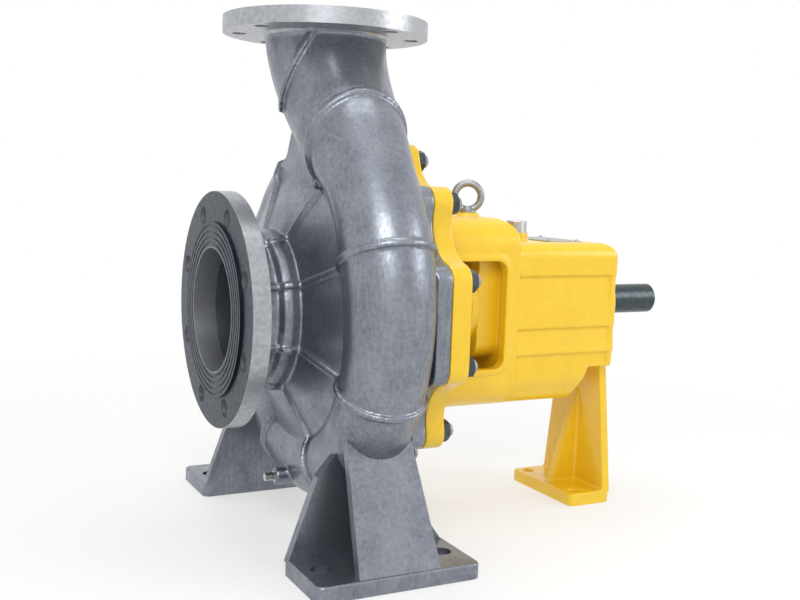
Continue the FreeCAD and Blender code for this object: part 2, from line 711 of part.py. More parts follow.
def casing_passage():
    """The water's way from the suction bore to the joint face, without the volute channel."""
    return turned("casing_passage", [
        ("-suction_reach - 1", "0"),
        ("-suction_reach - 1", "suction_bore / 2"),
        ("-eye_front - 4", "suction_bore / 2"),
        ("-eye_front - 4", "eye_neck_radius + ring_gap"),
        ("-eye_front", "eye_neck_radius + ring_gap"),
        ("-eye_front", "eye_neck_radius + ring_gap + ring_wall"),
        ("-eye_front + ring_width", "eye_neck_radius + ring_gap + ring_wall"),
        ("-eye_front + ring_width", "eye_neck_radius + ring_gap + ring_wall + 4"),
        ("-outlet_width / 2 - shroud_thick - 5", "impeller_radius + 3"),
        ("-outlet_width / 2 - shroud_thick - 5", "cover_inner"),
        ("joint_face - cover_flange - gasket_thick", "cover_inner"),
        ("joint_face - cover_flange - gasket_thick", "cover_bore"),
        ("joint_face + 1", "cover_bore"),
        ("joint_face + 1", "0"),
    ])


def casing_drills():
    """Bolt holes, stud holes, the drain's thread and the gasket grooves of the suction face."""
    height = size("shaft_height")
    suction = -size("suction_reach") - 1
    drills = bored_holes(suction, size("suction_pcd"), size("suction_hole"), size("suction_flange_thick") + 6,
                         Vector(1, 0, 0))
    under = height + size("discharge_height") - size("discharge_flange_thick") - 1
    drills += bored_holes(under, size("discharge_pcd"), size("discharge_hole"),
                          size("discharge_flange_thick") + 6, Vector(0, 0, 1))
    for spot in round_spots(size("joint_pcd"), size("joint_bolts"), 180.0 / size("joint_bolts")):
        spot.x = size("joint_face") - size("stud_deep") - 1
        drills.append(Part.makeCylinder(size("stud_radius"), size("stud_deep") + 2, spot, Vector(1, 0, 0)))
    deep = size("face_groove_deep")
    for k in range(4):
        middle = size("suction_bore") / 2 + 5 + k * size("face_groove_pitch")
        ring = Part.makeCylinder(middle + 1, deep + 1).cut(Part.makeCylinder(middle - 1, deep + 1))
        ring.Placement = Placement(Vector(suction, 0, height), ON_X)
        drills.append(ring)
    spot = Vector(-size("drain_face") - 1, -size("drain_out"), height - size("drain_low"))
    drills.append(Part.makeCylinder(size("drain_thread"), size("plug_long") + 3, spot, Vector(1, 0, 0)))
    return raw("casing_holes", Part.makeCompound(drills))


def volute_casing():
    """The bored casting in three nodes, body and both nozzles, and its two welded feet."""
    outside = casing_outside()
    mouth = rod("discharge_mouth", "discharge_bore / 2", "40",
                ("0", "0", "shaft_height + discharge_height - 39"), "Z")
    inside = fused("casing_inside", [casing_passage(), raw("channel", volute_solid(0, 0)), mouth])
    doc.recompute()
    casting = cut("Casting", cut("casing_bored", outside, inside), casing_drills())
    suction_side = rod("suction_side", "suction_flange_dia / 2 + 2", "suction_reach - suction_split + 1",
                       ("-suction_reach - 1", "0", "shaft_height"), "X")
    upper_side = box("discharge_side", ("-200", "-200", "shaft_height + discharge_split"),
                     ("200", "200", "shaft_height + discharge_height + 1"))
    sides = fused("nozzle_sides", [suction_side, upper_side])
    node(cut("Casing_body", casting, sides), "volute_casing")
    node(shared("Suction_end", casting, suction_side), "suction_nozzle")
    node(shared("Discharge_end", casting, upper_side), "discharge_nozzle")
    node(cut("Near_foot", raw("near_plates", casing_foot(-1)), outside), "near_casing_foot")
    node(cut("Far_foot", raw("far_plates", casing_foot(1)), outside), "far_casing_foot")


# impeller and the rings that it runs in

def impeller():
    hub = turned("impeller_hub", [
        ("-hub_front", "impeller_seat"),
        ("-hub_front", "hub_radius - 6"),
        ("-hub_front / 3", "hub_radius"),
        ("outlet_width / 2 - 5", "hub_radius + 12"),
        ("outlet_width / 2", "hub_radius + 40"),
        ("outlet_width / 2", "impeller_radius"),
        ("outlet_width / 2 + shroud_thick", "impeller_radius"),
        ("outlet_width / 2 + shroud_thick", "hub_radius + 12"),
        ("outlet_width / 2 + shroud_thick + 2", "hub_radius"),
        ("hub_back", "hub_radius"),
        ("hub_back", "impeller_seat"),
    ])
    front = turned("impeller_front", [
        ("-outlet_width / 2", "impeller_radius"),
        ("-outlet_width / 2 - shroud_thick", "impeller_radius"),
        ("-outlet_width / 2 - shroud_thick - 2", "impeller_radius * 0.78"),
        ("-outlet_width / 2 - shroud_thick - 9", "impeller_radius * 0.62"),
        ("-eye_front + ring_width + 0.5", "eye_neck_radius + 3"),
        ("-eye_front + ring_width + 0.5", "eye_neck_radius"),
        ("-eye_front", "eye_neck_radius"),
        ("-eye_front", "eye_radius"),
        ("-eye_front + 18", "eye_radius + 1"),
        ("-outlet_width / 2 - 10", "impeller_radius * 0.53"),
        ("-outlet_width / 2 - 3", "impeller_radius * 0.7"),
    ])
    passage = turned("impeller_passage", [
        ("outlet_width / 2 + 1", "hub_radius - 2"),
        ("outlet_width / 2 + 1", "impeller_radius - 0.5"),
        ("-outlet_width / 2 - 1", "impeller_radius - 0.5"),
        ("-outlet_width / 2 - 4", "impeller_radius * 0.7"),
        ("-outlet_width / 2 - 12", "impeller_radius * 0.54"),
        ("-eye_front + 17", "eye_radius + 3"),
        ("-eye_front + 26", "eye_radius - 6"),
        ("-6", "hub_radius - 2"),
    ])
    start = size("eye_radius") - 12
    rim = size("impeller_radius") + 4
    blade_angle = math.tan(math.radians(25))
    half = size("vane_thick") / 2
    vanes = []
    for k in range(int(size("vane_count"))):
        faces = []
        for offset in (-half, half):
            spots = []
            for reach in (start, (start + rim) / 2, rim):
                angle = math.log(reach / start) / blade_angle + offset / reach
                angle += 2 * math.pi * k / size("vane_count")
                spots.append(Vector(0, reach * math.cos(angle), reach * math.sin(angle)))
            faces.append(spots)
        inner, outer = faces
        wire = Part.Wire([Part.Arc(*inner).toShape(), Part.LineSegment(inner[2], outer[2]).toShape(),
                          Part.Arc(*outer).toShape(), Part.LineSegment(outer[0], inner[0]).toShape()])
        vane = Part.Face(wire).extrude(Vector(size("eye_front") + 20, 0, 0))
        vane.translate(Vector(-size("eye_front"), 0, size("shaft_height")))
        vanes.append(vane)
    doc.recompute()
    blades = Part.makeCompound([vane.common(passage.Shape) for vane in vanes])
    joined = fused("Impeller", [hub, front, raw("vanes", blades)])
    key_start = "hub_back - 3 - hub_key_long"
    key_low = "shaft_height + impeller_seat - key_deep"
    keyway = box("impeller_keyway", (key_start + " - 1", "-hub_key_wide / 2", "shaft_height"),
                 ("hub_back + 1", "hub_key_wide / 2", key_low + " + key_high + seal_gap"))
    node(cut("Impeller_bored", joined, keyway), "impeller")
    node(box("Impeller_key", (key_start, "-hub_key_wide / 2", key_low),
             ("hub_back - 3", "hub_key_wide / 2", key_low + " + key_high")), "impeller_key")
    node(turned("casing_wear_ring", [
        ("-eye_front", "eye_neck_radius + ring_gap"),
        ("-eye_front", "eye_neck_radius + ring_gap + ring_wall"),
        ("-eye_front + ring_width", "eye_neck_radius + ring_gap + ring_wall"),
        ("-eye_front + ring_width", "eye_neck_radius + ring_gap"),
    ]), "casing_wear_ring")
    nut = hexagon(3 * size("nut_thread"), size("thread_long") - 4)
    dome = Part.makeCone(17, 9, size("impeller_nut_dome"), Vector(0, 0, size("thread_long") - 5))
    bore = Part.makeCylinder(size("nut_thread"), size("thread_long") + 1, Vector(0, 0, -1))
    shape = nut.fuse(dome).cut(bore)
    shape.Placement = Placement(Vector(-size("hub_front"), 0, size("shaft_height")), AGAINST_X)
    node(raw("Impeller_nut", shape), "impeller_nut")


# casing cover with the seal chamber

def casing_cover():
    """The cover lies inside the casing and is clamped on its gasket by the bracket's flange."""
    shoulder = "joint_face - cover_flange"
    body = turned("casing_cover", [
        ("cover_face", "sleeve_radius + seal_gap + 1"),
        ("cover_face", "cover_inner - fit_gap"),
        (shoulder, "cover_inner - fit_gap"),
        (shoulder, "cover_bore - fit_gap"),
        ("joint_face", "cover_bore - fit_gap"),
        ("joint_face", "spigot_radius"),
        ("cover_face + cover_wall + 26", "spigot_radius"),
        ("cover_face + cover_wall", "spigot_radius - 26"),
        ("cover_face + cover_wall", "chamber_radius + chamber_wall + 20"),
        ("cover_face + cover_wall + 20", "chamber_radius + chamber_wall"),
        ("chamber_end", "chamber_radius + chamber_wall"),
        ("chamber_end", "chamber_radius"),
        ("cover_face + cover_wall", "chamber_radius"),
        ("cover_face + cover_wall", "sleeve_radius + seal_gap + 1"),
    ])
    drills = []
    deep = size("gland_stud_deep")
    for spot in round_spots(size("gland_pcd"), 4, 45):
        spot.x = size("chamber_end") - deep
        drills.append(Part.makeCylinder(size("gland_stud_radius"), deep + 2, spot, Vector(1, 0, 0)))
    node(cut("Cover", body, raw("cover_holes", Part.makeCompound(drills))), "casing_cover")
    node(turned("casing_gasket", [
        (shoulder + " - gasket_thick", "cover_inner + 0.5"),
        (shoulder + " - gasket_thick", "cover_bore - 0.5"),
        (shoulder, "cover_bore - 0.5"),
        (shoulder, "cover_inner + 0.5"),
    ]), "casing_gasket")


def joint_fasteners():
    """Studs in the casing rim with one hexagon nut each."""
    bracket_face = size("joint_face") + size("bracket_flange")
    start = size("joint_face") - size("stud_deep")
    stud = Part.makeCylinder(size("stud_radius"), bracket_face + size("nut_high") + size("stud_proud") - start)
    stud = stud.makeChamfer(1.2, [edge for edge in stud.Edges if len(edge.Vertexes) == 1])
    nut = hexagon(size("nut_flat"), size("nut_high"))
    nut = nut.cut(Part.makeCylinder(size("stud_radius"), size("nut_high") + 2, Vector(0, 0, -1)))
    stud_places = []
    nut_places = []
    for spot in round_spots(size("joint_pcd"), size("joint_bolts"), 180.0 / size("joint_bolts")):
        around = math.degrees(math.atan2(spot.z - size("shaft_height"), spot.y))
        turn = Rotation(Vector(1, 0, 0), around) * ON_X
        stud_places.append(Placement(Vector(start, spot.y, spot.z), turn))
        nut_places.append(Placement(Vector(bracket_face, spot.y, spot.z), turn))
    repeated("casing_studs", stud, stud_places)
    repeated("casing_nuts", nut, nut_places)


# shaft seal

def shaft_seal():
    node(turned("shaft_sleeve", [
        ("hub_back", "sleeve_seat"),
        ("hub_back", "sleeve_radius"),
        ("hub_back + sleeve_long", "sleeve_radius"),
        ("hub_back + sleeve_long", "sleeve_seat"),
    ]), "shaft_sleeve")
    body = turned("gland_plate", [
        ("chamber_end", "sleeve_radius + seal_gap + 2"),
        ("chamber_end", "chamber_radius + 18"),
        ("chamber_end + gland_thick", "chamber_radius + 18"),
        ("chamber_end + gland_thick", "chamber_radius - 4"),
        ("chamber_end + gland_thick + 6", "chamber_radius - 6"),
        ("chamber_end + gland_thick + 6", "sleeve_radius + seal_gap + 2"),
    ])
    drilled(body, "gland", "chamber_end - 1", "gland_thick + 2", "gland_pcd",
            "gland_stud_radius + seal_gap", 4, 45)
    node(body, "gland_plate")
    seat = "chamber_radius - 4"
    node(turned("seal_seat", [
        ("chamber_end - 12", "sleeve_radius + 1.5"),
        ("chamber_end - 12", seat),
        ("chamber_end", seat),
        ("chamber_end", "sleeve_radius + 1.5"),
    ]), "seal_stationary_ring")
    node(turned("seal_rotor", [
        ("chamber_end - 22", "sleeve_radius + 0.05"),
        ("chamber_end - 22", seat),
        ("chamber_end - 14.3", seat),
        ("chamber_end - 12.3", seat + " - 3"),
        ("chamber_end - 12.3", "sleeve_radius + 0.05"),
    ]), "seal_rotary_ring")
    node(turned("seal_collar", [
        ("cover_face + cover_wall + 2", "sleeve_radius"),
        ("cover_face + cover_wall + 2", seat),
        ("cover_face + cover_wall + 12", seat),
        ("cover_face + cover_wall + 12", "sleeve_radius"),
    ]), "seal_drive_collar")
    wire = size("spring_wire")
    coil_start = size("cover_face") + size("cover_wall") + 12 + wire
    coil_end = size("chamber_end") - 22 - wire
    reach = size("sleeve_radius") + 5
    path = Part.makeHelix((coil_end - coil_start) / size("spring_turns"), coil_end - coil_start, reach)
    ring = Part.Wire([Part.Circle(Vector(reach, 0, 0), Vector(0, 1, 0), wire).toShape()])
    spring = Part.Wire(path).makePipeShell([ring], True, True)
    spring.Placement = Placement(Vector(coil_start, 0, size("shaft_height")), ON_X)
    node(raw("Spring", spring), "seal_spring")
    stud = Part.makeCylinder(size("gland_stud_radius"), size("gland_stud_deep") + size("gland_thick")
                             + size("gland_stud_proud"))
    nut = hexagon(size("gland_nut_flat"), size("gland_nut_high"))
    nut = nut.cut(Part.makeCylinder(size("gland_stud_radius"), size("gland_nut_high") + 2, Vector(0, 0, -1)))
    studs = [Placement(Vector(size("chamber_end") - size("gland_stud_deep"), spot.y, spot.z), ON_X)
             for spot in round_spots(size("gland_pcd"), 4, 45)]
    nuts = [Placement(Vector(size("chamber_end") + size("gland_thick"), spot.y, spot.z), ON_X)
            for spot in round_spots(size("gland_pcd"), 4, 45)]
    repeated("gland_studs", stud, studs)
    repeated("gland_nuts", nut, nuts)


# shaft and bearings

def shaft():
    seat = "bearing_bore / 2"
    end = "shaft_end_dia / 2"
    body = turned("shaft", [
        ("-hub_front - thread_long", "0"),
        ("-hub_front - thread_long", "nut_thread - 1.5"),
        ("-hub_front - thread_long + 1.5", "nut_thread"),
        ("-hub_front", "nut_thread"),
        ("-hub_front", "impeller_seat"),
        ("hub_back", "impeller_seat"),
        ("hub_back", "sleeve_seat"),
        ("hub_back + sleeve_long", "sleeve_seat"),
        ("hub_back + sleeve_long", seat),
        ("inboard_start + inboard_wide", seat),
        ("inboard_start + inboard_wide", "shaft_middle"),
        ("outboard_start", "shaft_middle"),
        ("outboard_start", seat),
        ("frame_end - 1", seat),
        ("frame_end - 1", "lip_seat"),
        ("drive_reach - shaft_end_long", "lip_seat"),
        ("drive_reach - shaft_end_long", end),
        ("drive_reach - shaft_end_bevel", end),
        ("drive_reach", end + " - shaft_end_bevel"),
        ("drive_reach", "0"),
    ])
    floor = size("shaft_end_dia") / 2 - size("key_deep")
    wide = size("key_wide")
    key_from = size("drive_reach") - size("key_inset") - size("key_long")
    key = Part.makeBox(size("key_long"), size("key_high"), wide, Vector(0, floor, -wide / 2))
    key.Placement = Placement(Vector(key_from, 0, size("shaft_height")),
                              Rotation(Vector(1, 0, 0), size("key_turn")))
    slot = raw("coupling_keyway", key)
    hub_slot = box("impeller_seat_slot", ("hub_back - 3 - hub_key_long", "-hub_key_wide / 2",
                                          "shaft_height + impeller_seat - key_deep"),
                   ("hub_back - 3", "hub_key_wide / 2", "shaft_height + impeller_seat + 1"))
    node(cut("Shaft", body, fused("shaft_slots", [slot, hub_slot])), "shaft")


def ball_bearing(place, start, wide, rows):
    """Grooved rings, a cage and its balls. Place is inboard or outboard."""
    seat = size("bearing_bore") / 2
    house = size("housing_bore") / 2
    pitch = (seat + house) / 2
    ball = size("ball_radius")
    groove = ball + size("ball_gap")
    begin = size(start)
    width = size(wide)
    height = size("shaft_height")
    shoulder = ball * size("shoulder_share")
    middles = [begin + width * (2 * k + 1) / (2 * rows) for k in range(rows)]

    def ring(low, high):
        return Part.makeCylinder(high, width, Vector(begin, 0, height), Vector(1, 0, 0)).cut(
            Part.makeCylinder(low, width, Vector(begin, 0, height), Vector(1, 0, 0)))

    inner = ring(seat, pitch - shoulder)
    outer = ring(pitch + shoulder, house)
    cage = ring(pitch - size("cage_half"), pitch + size("cage_half"))
    trim = width / 2 - rows * (ball + 1)
    if trim > 0.5:
        for edge in (begin - 1, begin + width - trim):
            cage = cage.cut(Part.makeCylinder(house, trim + 1, Vector(edge, 0, height), Vector(1, 0, 0)))
    balls = []
    for row, middle in enumerate(middles):
        track = Part.makeTorus(pitch, groove, Vector(middle, 0, height), Vector(1, 0, 0))
        inner = inner.cut(track)
        outer = outer.cut(track)
        for spot in round_spots(2 * pitch, size("ball_count"), 20.0 * row):
            spot.x = middle
            balls.append(Part.makeSphere(ball, spot))
            cage = cage.cut(Part.makeSphere(groove, spot))
    for label, shape in (("outer_race", outer), ("inner_race", inner), ("cage", cage),
                         ("balls", Part.makeCompound(balls))):
        node(raw(f"{place}_{label}", shape), f"{place}_bearing_{label}")


def bearing_covers():
    bore = "housing_bore / 2"
    front = "nose_front - cover_plate"
    body = turned("inboard_cover", [
        (front, "lip_seal_radius - 4"),
        (front, "inboard_cover_radius - 2"),
        (front + " + 2", "inboard_cover_radius"),
        ("nose_front", "inboard_cover_radius"),
        ("nose_front", bore + " - fit_gap"),
        ("inboard_start", bore + " - fit_gap"),
        ("inboard_start", bore + " - cover_lip"),
        ("nose_front", bore + " - cover_lip"),
        ("nose_front", "lip_seal_radius"),
        (front + " + 3", "lip_seal_radius"),
        (front + " + 3", "lip_seal_radius - 4"),
    ])
    drilled(body, "inboard", front + " - 1", "cover_plate + 2", "cover_pcd", "screw_radius", "cover_screws",
            COVER_TURN)
    node(body, "inboard_bearing_cover")
    outside = "frame_end + cover_plate"
    body = turned("outboard_cover", [
        ("outboard_start + outboard_wide", bore + " - fit_gap"),
        ("frame_end", bore + " - fit_gap"),
        ("frame_end", "outboard_cover_radius"),
        (outside + " - 2", "outboard_cover_radius"),
        (outside, "outboard_cover_radius - 2"),
        (outside, "lip_seal_radius + 6"),
        (outside + " + 2", "lip_seal_radius + 4"),
        (outside + " + 2", "lip_seal_radius - 4"),
        (outside, "lip_seal_radius - 4"),
        (outside, "lip_seal_radius"),
        ("frame_end", "lip_seal_radius"),
        ("frame_end", bore + " - cover_lip"),
        ("outboard_start + outboard_wide", bore + " - cover_lip"),
    ])
    drilled(body, "outboard", "frame_end - 1", "cover_plate + 2", "cover_pcd", "screw_radius", "cover_screws",
            COVER_TURN)
    node(body, "outboard_bearing_cover")


def lip_seals():
    for place, start, bore in (("inboard", "nose_front - cover_plate + 3", "bearing_bore / 2"),
                               ("outboard", "frame_end + cover_plate - lip_seal_wide", "lip_seat")):
        node(turned(place + "_lip", [
            (start, bore + " + fit_gap"),
            (start, "lip_seal_radius"),
            (start + " + lip_seal_wide", "lip_seal_radius"),
            (start + " + lip_seal_wide", "lip_seal_radius - lip_seal_wall"),
            (start + " + 2", "lip_seal_radius - lip_seal_wall"),
            (start + " + 2", bore + " + 2"),
            (start + " + 5", bore + " + 2"),
            (start + " + 5", bore + " + fit_gap"),
        ]), place + "_lip_seal")


def cover_fasteners():
    long = size("screw_long")
    screw = hexagon(size("screw_flat"), size("screw_head"))
    screw = screw.fuse(Part.makeCylinder(size("screw_radius"), long, Vector(0, 0, -long)))
    spots = round_spots(size("cover_pcd"), size("cover_screws"), COVER_TURN)
    for place, x, turn in (("inboard", size("nose_front") - size("cover_plate"), AGAINST_X),
                           ("outboard", size("frame_end") + size("cover_plate"), ON_X)):
        places = [Placement(Vector(x, spot.y, spot.z), turn) for spot in spots]
        repeated(place + "_cover_screws", screw, places)


def shaft_fittings():
    """Lock washer and nut behind the outboard bearing, and the deflector before the inboard cover."""
    seat = "bearing_bore / 2"
    washer = "outboard_start + outboard_wide"
    nut_start = washer + " + lock_washer_thick"
    node(turned("lock_washer", [
        (washer, seat),
        (washer, seat + " + lock_nut_wall - 1"),
        (nut_start, seat + " + lock_nut_wall - 1"),
        (nut_start, seat),
    ]), "bearing_lock_washer")
    nut = turned("lock_nut", [
        (nut_start, seat),
        (nut_start, seat + " + lock_nut_wall"),
        (nut_start + " + lock_nut_wide", seat + " + lock_nut_wall"),
        (nut_start + " + lock_nut_wide", seat),
    ])
    notches = []
    notch_low = size("bearing_bore") / 2 + size("lock_nut_wall") - 3
    for k in range(4):
        notch = Part.makeBox(30, 7, 6, Vector(0, -3.5, notch_low))
        notch.rotate(Vector(0, 0, 0), Vector(1, 0, 0), 45 + 90 * k)
        notch.translate(Vector(number_of(washer), 0, size("shaft_height")))
        notches.append(notch)
    node(cut("Lock_nut", nut, raw("lock_nut_notches", Part.makeCompound(notches))), "bearing_lock_nut")
    end = "nose_front - cover_plate - deflector_gap"
    node(turned("deflector", [
        (end + " - deflector_wide", seat),
        (end + " - deflector_wide", seat + " + 6"),
        (end + " - 4", seat + " + 8"),
        (end + " - 3", seat + " + 20"),
        (end, seat + " + 21"),
        (end, seat),
    ]), "shaft_deflector")


# bearing bracket: lobed flange, lantern with windows and bearing frame in one casting

def rounded_face(corners):
    """A face across the shaft, drawn about the shaft axis. Corners are (y, z, rounding)."""
    count = len(corners)
    spots = [Vector(0, y, z) for y, z, rounding in corners]
    ends = []
    for k, (y, z, rounding) in enumerate(corners):
        here = spots[k]
        back = (spots[k - 1] - here).normalize()
        ahead = (spots[(k + 1) % count] - here).normalize()
        half = back.getAngle(ahead) / 2
        if rounding == 0:
            ends.append((here, here, None))
            continue
        leave = rounding / math.tan(half)
        middle = (back + ahead).normalize() * (rounding / math.sin(half) - rounding)
        ends.append((here + back * leave, here + ahead * leave, here + middle))
    edges = []
    for k in range(count):
        first, last, middle = ends[k]
        if middle is not None:
            edges.append(Part.Arc(first, middle, last).toShape())
        edges.append(Part.LineSegment(last, ends[(k + 1) % count][0]).toShape())
    return Part.Face(Part.Wire(edges))


def along_shaft(face, start, end):
    solid = face.extrude(Vector(end - start, 0, 0))
    solid.translate(Vector(start, 0, size("shaft_height")))
    return solid


def side_block(corners, half):
    """A block across the whole width from an outline of (x, z above the shaft)."""
    points = [Vector(x, -half, size("shaft_height") + z) for x, z in corners]
    return Part.Face(Part.makePolygon(points + points[:1])).extrude(Vector(0, 2 * half, 0))


def shaft_rod(radius, long, start, y=0, low=0):
    """A cylinder parallel to the shaft, from x = start."""
    return Part.makeCylinder(radius, long, Vector(start, y, size("shaft_height") - low), Vector(1, 0, 0))


def top_rounded(start, end, top, low, rounding):
    """A wide block whose upper rear edge is rounded."""
    block = side_block([(start, -low), (end, -low), (end, top), (start, top)], WIDE)
    rear = [edge for edge in block.Edges
            if min(v.X for v in edge.Vertexes) > end - 0.01 and
            min(v.Z for v in edge.Vertexes) > size("shaft_height") + top - 0.01]
    return block.makeFillet(rounding, rear)


def lantern_face(inset):
    half = size("lantern_half") - inset
    top = size("lantern_top") - inset
    low = -size("frame_bottom") + inset
    corner = size("lantern_round") - inset
    return rounded_face([(y, z, corner) for y, z in ((-half, low), (half, low), (half, top), (-half, top))])


def frame_face(step):
    """The bearing frame across the shaft, with bands on its sides that overhang each other."""
    half = size("frame_half")
    drop = size("band_drop")
    side = [(half, size("frame_top"), size("frame_round"))]
    for line in (size("band_one"), -size("band_two"), -size("band_three")):
        side.append((half, line, 0))
        side.append((half - step, line - drop, 0))
    side.append((half - 4, -size("ledge_low") - 14, 24))
    side.append((half - 24, -size("frame_bottom"), 22))
    return rounded_face(side + [(-y, z, rounding) for y, z, rounding in reversed(side)])


def bracket_frame():
    """The bearing frame with its bands, plain end border and raised rear underside."""
    start = size("lantern_back") - size("lantern_shoulder") - 4
    end = size("frame_end")
    border = end - size("frame_border")
    bands = along_shaft(frame_face(size("frame_step")), start, border + 1)
    plain = along_shaft(frame_face(size("band_drop")), border, end)
    low = -size("frame_bottom") - 5
    under = side_block([(size("sump_foot"), low), (size("ledge_start"), -size("ledge_low")),
                        (end + 5, -size("ledge_low")), (end + 5, low)], WIDE)
    whole = top_rounded(start - 1, end, size("frame_top"), size("frame_bottom") + 1, size("frame_round"))
    return bands.fuse(plain).common(whole).cut(under)


def window_block(start, end, half, rounding, reach):
    low = size("shaft_height") - size("window_low") - half
    window = Part.makeBox(end - start, 2 * reach, 2 * half, Vector(start, -reach, low))
    return window.makeFillet(rounding, [edge for edge in window.Edges
                                        if abs(edge.Vertexes[0].Y - edge.Vertexes[1].Y) > reach])


def bracket_bosses():
    """Bosses under the filler cap and the eyebolt, round the sight glass and at the oil drain."""
    height = size("shaft_height")
    sunk = 5
    cap = Part.makeCylinder(size("cap_radius") + 2, size("cap_boss_high") + sunk,
                            Vector(size("cap_place"), 0, height + size("frame_top") - sunk))
    eye = Part.makeCylinder(size("eye_boss"), size("eye_boss_high") + sunk,
                            Vector(size("eye_place"), 0, height + size("lantern_top") - sunk))
    bosses = [cap, eye]
    for x, low, radius, proud in (("sight_place", "sight_low", size("sight_radius") + 2, 3),
                                  ("oil_drain_place", "oil_drain_low", 13, size("oil_drain_boss"))):
        start = size("frame_half") - 17
        bosses.append(Part.makeCylinder(radius, 17 + proud, Vector(size(x), start, height - size(low)),
                                        Vector(0, 1, 0)))
    return bosses


def bracket_outside():
    face = size("joint_face")
    start = face + 4
    back = size("lantern_back")
    shell = along_shaft(lantern_face(0), start, back)
    shell = shell.common(top_rounded(start - 1, back, size("lantern_top"), size("frame_bottom") + 1,
                                     size("lantern_shoulder")))
    rim = size("window_rim")
    raised = window_block(size("window_front") - rim, size("window_back") + rim, size("window_half") + rim,
                          size("window_round") + rim, size("lantern_half") + size("window_rim_high"))
    flange = lobed_plate(face, size("bracket_flange"))
    spigot = shaft_rod(size("spigot_radius") - size("fit_gap"), 8, face - 4)
    return shell.fuse([raised, flange, spigot, bracket_frame()] + bracket_bosses())


def bracket_hollows():
    """The lantern's inside round the bearing nose, its windows, the bearing bore and the oil sump."""
    nose_start = size("nose_front")
    inner_end = size("lantern_back") - size("lantern_rear")
    nose_top = size("lantern_top") - size("lantern_wall") + 2
    half = size("nose_half")
    nose = rounded_face([(-half, -size("nose_low"), 24), (half, -size("nose_low"), 24),
                         (half, nose_top, 0), (-half, nose_top, 0)])
    nose = along_shaft(nose, nose_start, inner_end + 1)
    hollow = along_shaft(lantern_face(size("lantern_wall")), size("joint_face") - 6, inner_end)
    window = window_block(size("window_front"), size("window_back"), size("window_half"), size("window_round"),
                          size("lantern_half") + 20)
    bore = shaft_rod(size("housing_bore") / 2, size("frame_end") + 2 - nose_start, nose_start - 1)
    wall = size("frame_wall")
    sump_half = size("frame_half") - wall - size("frame_step")
    low = -size("frame_bottom") + wall
    side = [(sump_half, 45, 20), (sump_half, -80, 20), (sump_half - 18, low, 14)]
    sump = rounded_face(side + [(-y, z, rounding) for y, z, rounding in reversed(side)])
    sump = along_shaft(sump, size("inboard_start") + size("inboard_wide") + 8, size("sump_foot") - wall)
    return [hollow.cut(nose), window.cut(nose), bore, sump]


def bracket_drills():
    """Stud holes in the flange, screw holes at both covers, and the threads of the fittings."""
    height = size("shaft_height")
    drills = []
    for spot in round_spots(size("joint_pcd"), size("joint_bolts"), 180.0 / size("joint_bolts")):
        drills.append(shaft_rod(size("stud_radius") + size("stud_play"), size("bracket_flange") + 2,
                                size("joint_face") - 1, spot.y, height - spot.z))
    for spot in round_spots(size("cover_pcd"), size("cover_screws"), COVER_TURN):
        for start in (size("nose_front") - 1, size("frame_end") - 15):
            drills.append(shaft_rod(size("screw_radius"), 16, start, spot.y, height - spot.z))
    deep = size("support_bolt_long") - size("support_web") + 2
    for side in (-1, 1):
        drills.append(shaft_rod(size("support_bolt_radius"), deep + 1, size("frame_end") - deep,
                                side * size("support_bolt_out"), size("support_bolt_low")))
    cap_top = height + size("frame_top") + size("cap_boss_high")
    drills.append(Part.makeCylinder(size("cap_plug") + size("seal_gap"), 60,
                                    Vector(size("cap_place"), 0, cap_top - 59)))
    eye_top = height + size("lantern_top") + size("eye_boss_high")
    drills.append(Part.makeCylinder(size("eye_stem"), 17, Vector(size("eye_place"), 0, eye_top - 16)))
    for x, low, radius in (("sight_place", "sight_low", size("sight_radius") - size("sight_wall")),
                           ("oil_drain_place", "oil_drain_low", size("drain_thread"))):
        start = size("frame_half") - 40
        drills.append(Part.makeCylinder(radius, 60, Vector(size(x), start, height - size(low)),
                                        Vector(0, 1, 0)))
    return drills


def bearing_bracket():
    node(raw("Bracket", bracket_outside().cut(bracket_hollows() + bracket_drills())), "bearing_bracket")


# fittings on the bracket and plugs

def eyebolt():
    ring_up = size("eye_collar_high") + size("eye_ring")
    ring = Part.makeTorus(size("eye_ring"), size("eye_wire"), Vector(0, 0, ring_up), Vector(0, 1, 0))
    collar = Part.makeCylinder(size("eye_collar"), size("eye_collar_high"))
    neck = Part.makeCone(size("eye_collar") - 2, size("eye_wire"), size("eye_neck"), Vector(0, 0, 3))
    stem = Part.makeCylinder(size("eye_stem"), 15, Vector(0, 0, -15))
    hole = Part.makeCylinder(size("eye_ring") - size("eye_wire"), 30, Vector(0, -15, ring_up), Vector(0, 1, 0))
    eye = neck.cut(hole).fuse([ring, collar, stem])
    foot = size("shaft_height") + size("lantern_top") + size("eye_boss_high")
    eye.Placement = Placement(Vector(size("eye_place"), 0, foot), Rotation(Vector(0, 0, 1), size("eye_turn")))
    node(raw("Eyebolt", eye), "lifting_eyebolt")


def filler_cap():
    cap = Part.makeCylinder(size("cap_radius"), size("cap_high"))
    cap = cap.makeFillet(1.5, [edge for edge in cap.Edges if min(v.Z for v in edge.Vertexes) > 1])
    long = size("cap_plug_long")
    cap = cap.fuse(Part.makeCylinder(size("cap_plug"), long, Vector(0, 0, -long)))
    foot = size("shaft_height") + size("frame_top") + size("cap_boss_high")
    cap.Placement = Placement(Vector(size("cap_place"), 0, foot), Rotation())
    node(raw("Filler_cap", cap), "oil_filler_cap")


